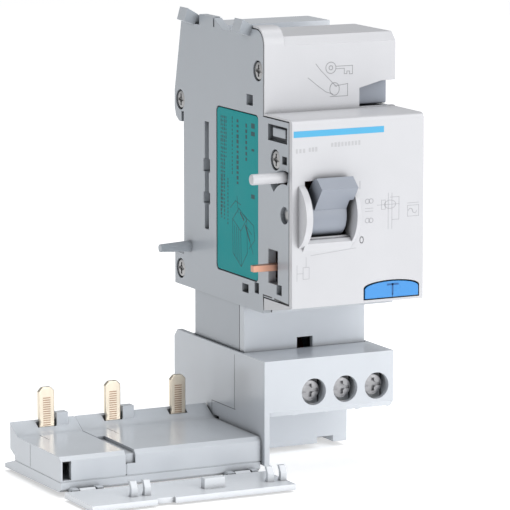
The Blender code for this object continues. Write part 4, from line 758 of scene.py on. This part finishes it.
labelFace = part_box("rating_label")[0].x / mm
barThick, narrowBar, labelSeed, plateSeed = 0.04, 0.8, 40, 70
columns = [
    {"y": -20.9, "top": 19.0, "count": 26, "step": 0.95, "wide": 0.46, "long": (0.35, 0.85)},
    {"y": -21.8, "top": 19.0, "count": 24, "step": 0.95, "wide": 0.46, "long": (0.3, 0.85)},
    {"y": -22.7, "top": 19.0, "count": 27, "step": 0.95, "wide": 0.46, "long": (0.35, 0.85)},
    {"y": -23.6, "top": 19.0, "count": 11, "step": 0.95, "wide": 0.46, "long": (0.3, 0.8)},
    {"y": -21.2, "top": 4.4, "count": 12, "step": 0.9, "wide": 0.41, "long": (0.3, 0.8)},
    {"y": -24.6, "top": 4.2, "count": 13, "step": 0.9, "wide": 0.41, "long": (0.3, 0.8)},
    {"y": -27.0, "top": 19.3, "count": 15, "step": 0.95, "wide": 0.41, "long": (0.3, 0.8)},
    {"y": -29.9, "top": 18.9, "count": 13, "step": 1.25, "wide": 1.15, "long": (0.55, 0.95)},
    {"y": -34.6, "top": 18.3, "count": 7, "step": 1.35, "wide": 0.94, "long": (0.5, 1.0)},
    {"y": -38.2, "top": 18.6, "count": 2, "step": 1.9, "wide": 2.29, "long": (0.9, 1.3)},
    {"y": -38.2, "top": 12.8, "count": 1, "step": 1.9, "wide": 1.62, "long": (0.4, 0.6)},
    {"y": -38.2, "top": 1.6, "count": 1, "step": 1.9, "wide": 1.89, "long": (0.9, 1.2)},
]
rows = []
for number, column in enumerate(columns):
    low, high = column["long"]
    rows.append(printRow(f"print row {number}", column["count"], (0, 0, -column["step"]),
                         (labelFace, column["y"], column["top"]),
                         (barThick, column["wide"] * narrowBar, low), (barThick, column["wide"], high),
                         labelSeed + number, inks["dark"]))
settle(joined("label_print", rows), "housing", "teal_label_film")
plateRows = [{"x": -16.3, "z": 15.0, "count": 3, "step": 0.95},
             {"x": -12.9, "z": 15.2, "count": 3, "step": 0.85},
             {"x": -7.0, "z": 16.0, "count": 9, "step": 0.9}]
rowSet = {"rise": 0.015, "smallWide": 0.45, "wide": 0.62, "smallHigh": 0.9, "high": 1.1}
rows = []
for number, row in enumerate(plateRows):
    step = (row["step"], 0, row["step"] * rowSet["rise"])
    smallest = (rowSet["smallWide"], barThick, rowSet["smallHigh"])
    largest = (rowSet["wide"], barThick, rowSet["high"])
    rows.append(printRow(f"plate row {number}", row["count"], step, (row["x"], plateLevel, row["z"]),
                         smallest, largest, plateSeed + number, inks["faint"]))
settle(joined("plate_print", rows), "housing", "white_cover_plastic")


def labelDrawing(name, lines, width):
    return printPiece(name, "X", labelFace, lines, width, inks["dark"], "housing", "teal_label_film")


sketch = [
    {"loop": [(-27.2, -5.2), (-30.6, -2.2), (-34.8, -4.4), (-31.6, -7.6)]},
    [(-27.2, -5.2), (-27.4, -13.5)],
    [(-31.6, -7.6), (-31.9, -16.2)],
    [(-34.8, -4.4), (-35.2, -12.4)],
    [(-27.4, -13.5), (-31.9, -16.2)],
    [(-31.9, -16.2), (-35.2, -12.4)],
    [(-28.3, -6.6), (-28.5, -13.9)],
    [(-29.4, -6.9), (-29.6, -14.6)],
    [(-30.5, -7.3), (-30.7, -15.3)],
    [(-33.0, -3.4), (-38.6, -5.4)],
    [(-38.6, -5.4), (-39.2, -8.8)],
    [(-39.2, -8.8), (-36.2, -11.2)],
    [(-35.0, -6.2), (-37.4, -7.6)],
    [(-26.0, -2.6), (-28.8, -0.6)],
    [(-28.8, -0.6), (-31.6, -1.2)],
    [(-29.6, 0.6), (-30.2, -3.4)],
    [(-36.6, -9.6), (-38.3, -12.2)],
]
labelDrawing("label_sketch", sketch, 0.15)
labelDrawing("label_sketch_bold", [[(-34.2, -6.0), (-36.4, -9.2)], [(-31.4, -3.2), (-33.2, -4.6)]], 0.5)
print("label print is made")

# ---- blade ridges

ridgeSet = {"count": 13, "step": 0.55, "first": 1.6, "wide": 1.9, "high": 0.26, "proud": 0.07, "rooted": 0.1,
            "pitch": 17.5, "front": -14.8}
ridgeForm = boxShape("ridge form", (-ridgeSet["wide"] / 2 * mm, -ridgeSet["proud"] * mm, 0),
                     (ridgeSet["wide"] / 2 * mm, ridgeSet["rooted"] * mm, ridgeSet["high"] * mm))
heights = [trayTop * mm + (ridgeSet["first"] + ridgeSet["step"] * n) * mm for n in range(ridgeSet["count"])]
for k in (1, 2, 3):
    x = carriageLeft - ridgeSet["pitch"] * mm * (k - 0.5)
    rows = [(x, ridgeSet["front"] * mm, z) for z in heights]
    ridges = placed(f"blade_ridges_{k}", rows, ridgeForm, (0, 0, 0), ridgeBrownMetal)
    settle(ridges, "carriage", "tinned_brass")
bpy.data.objects.remove(ridgeForm, do_unlink=True)
print("blade ridges are placed")
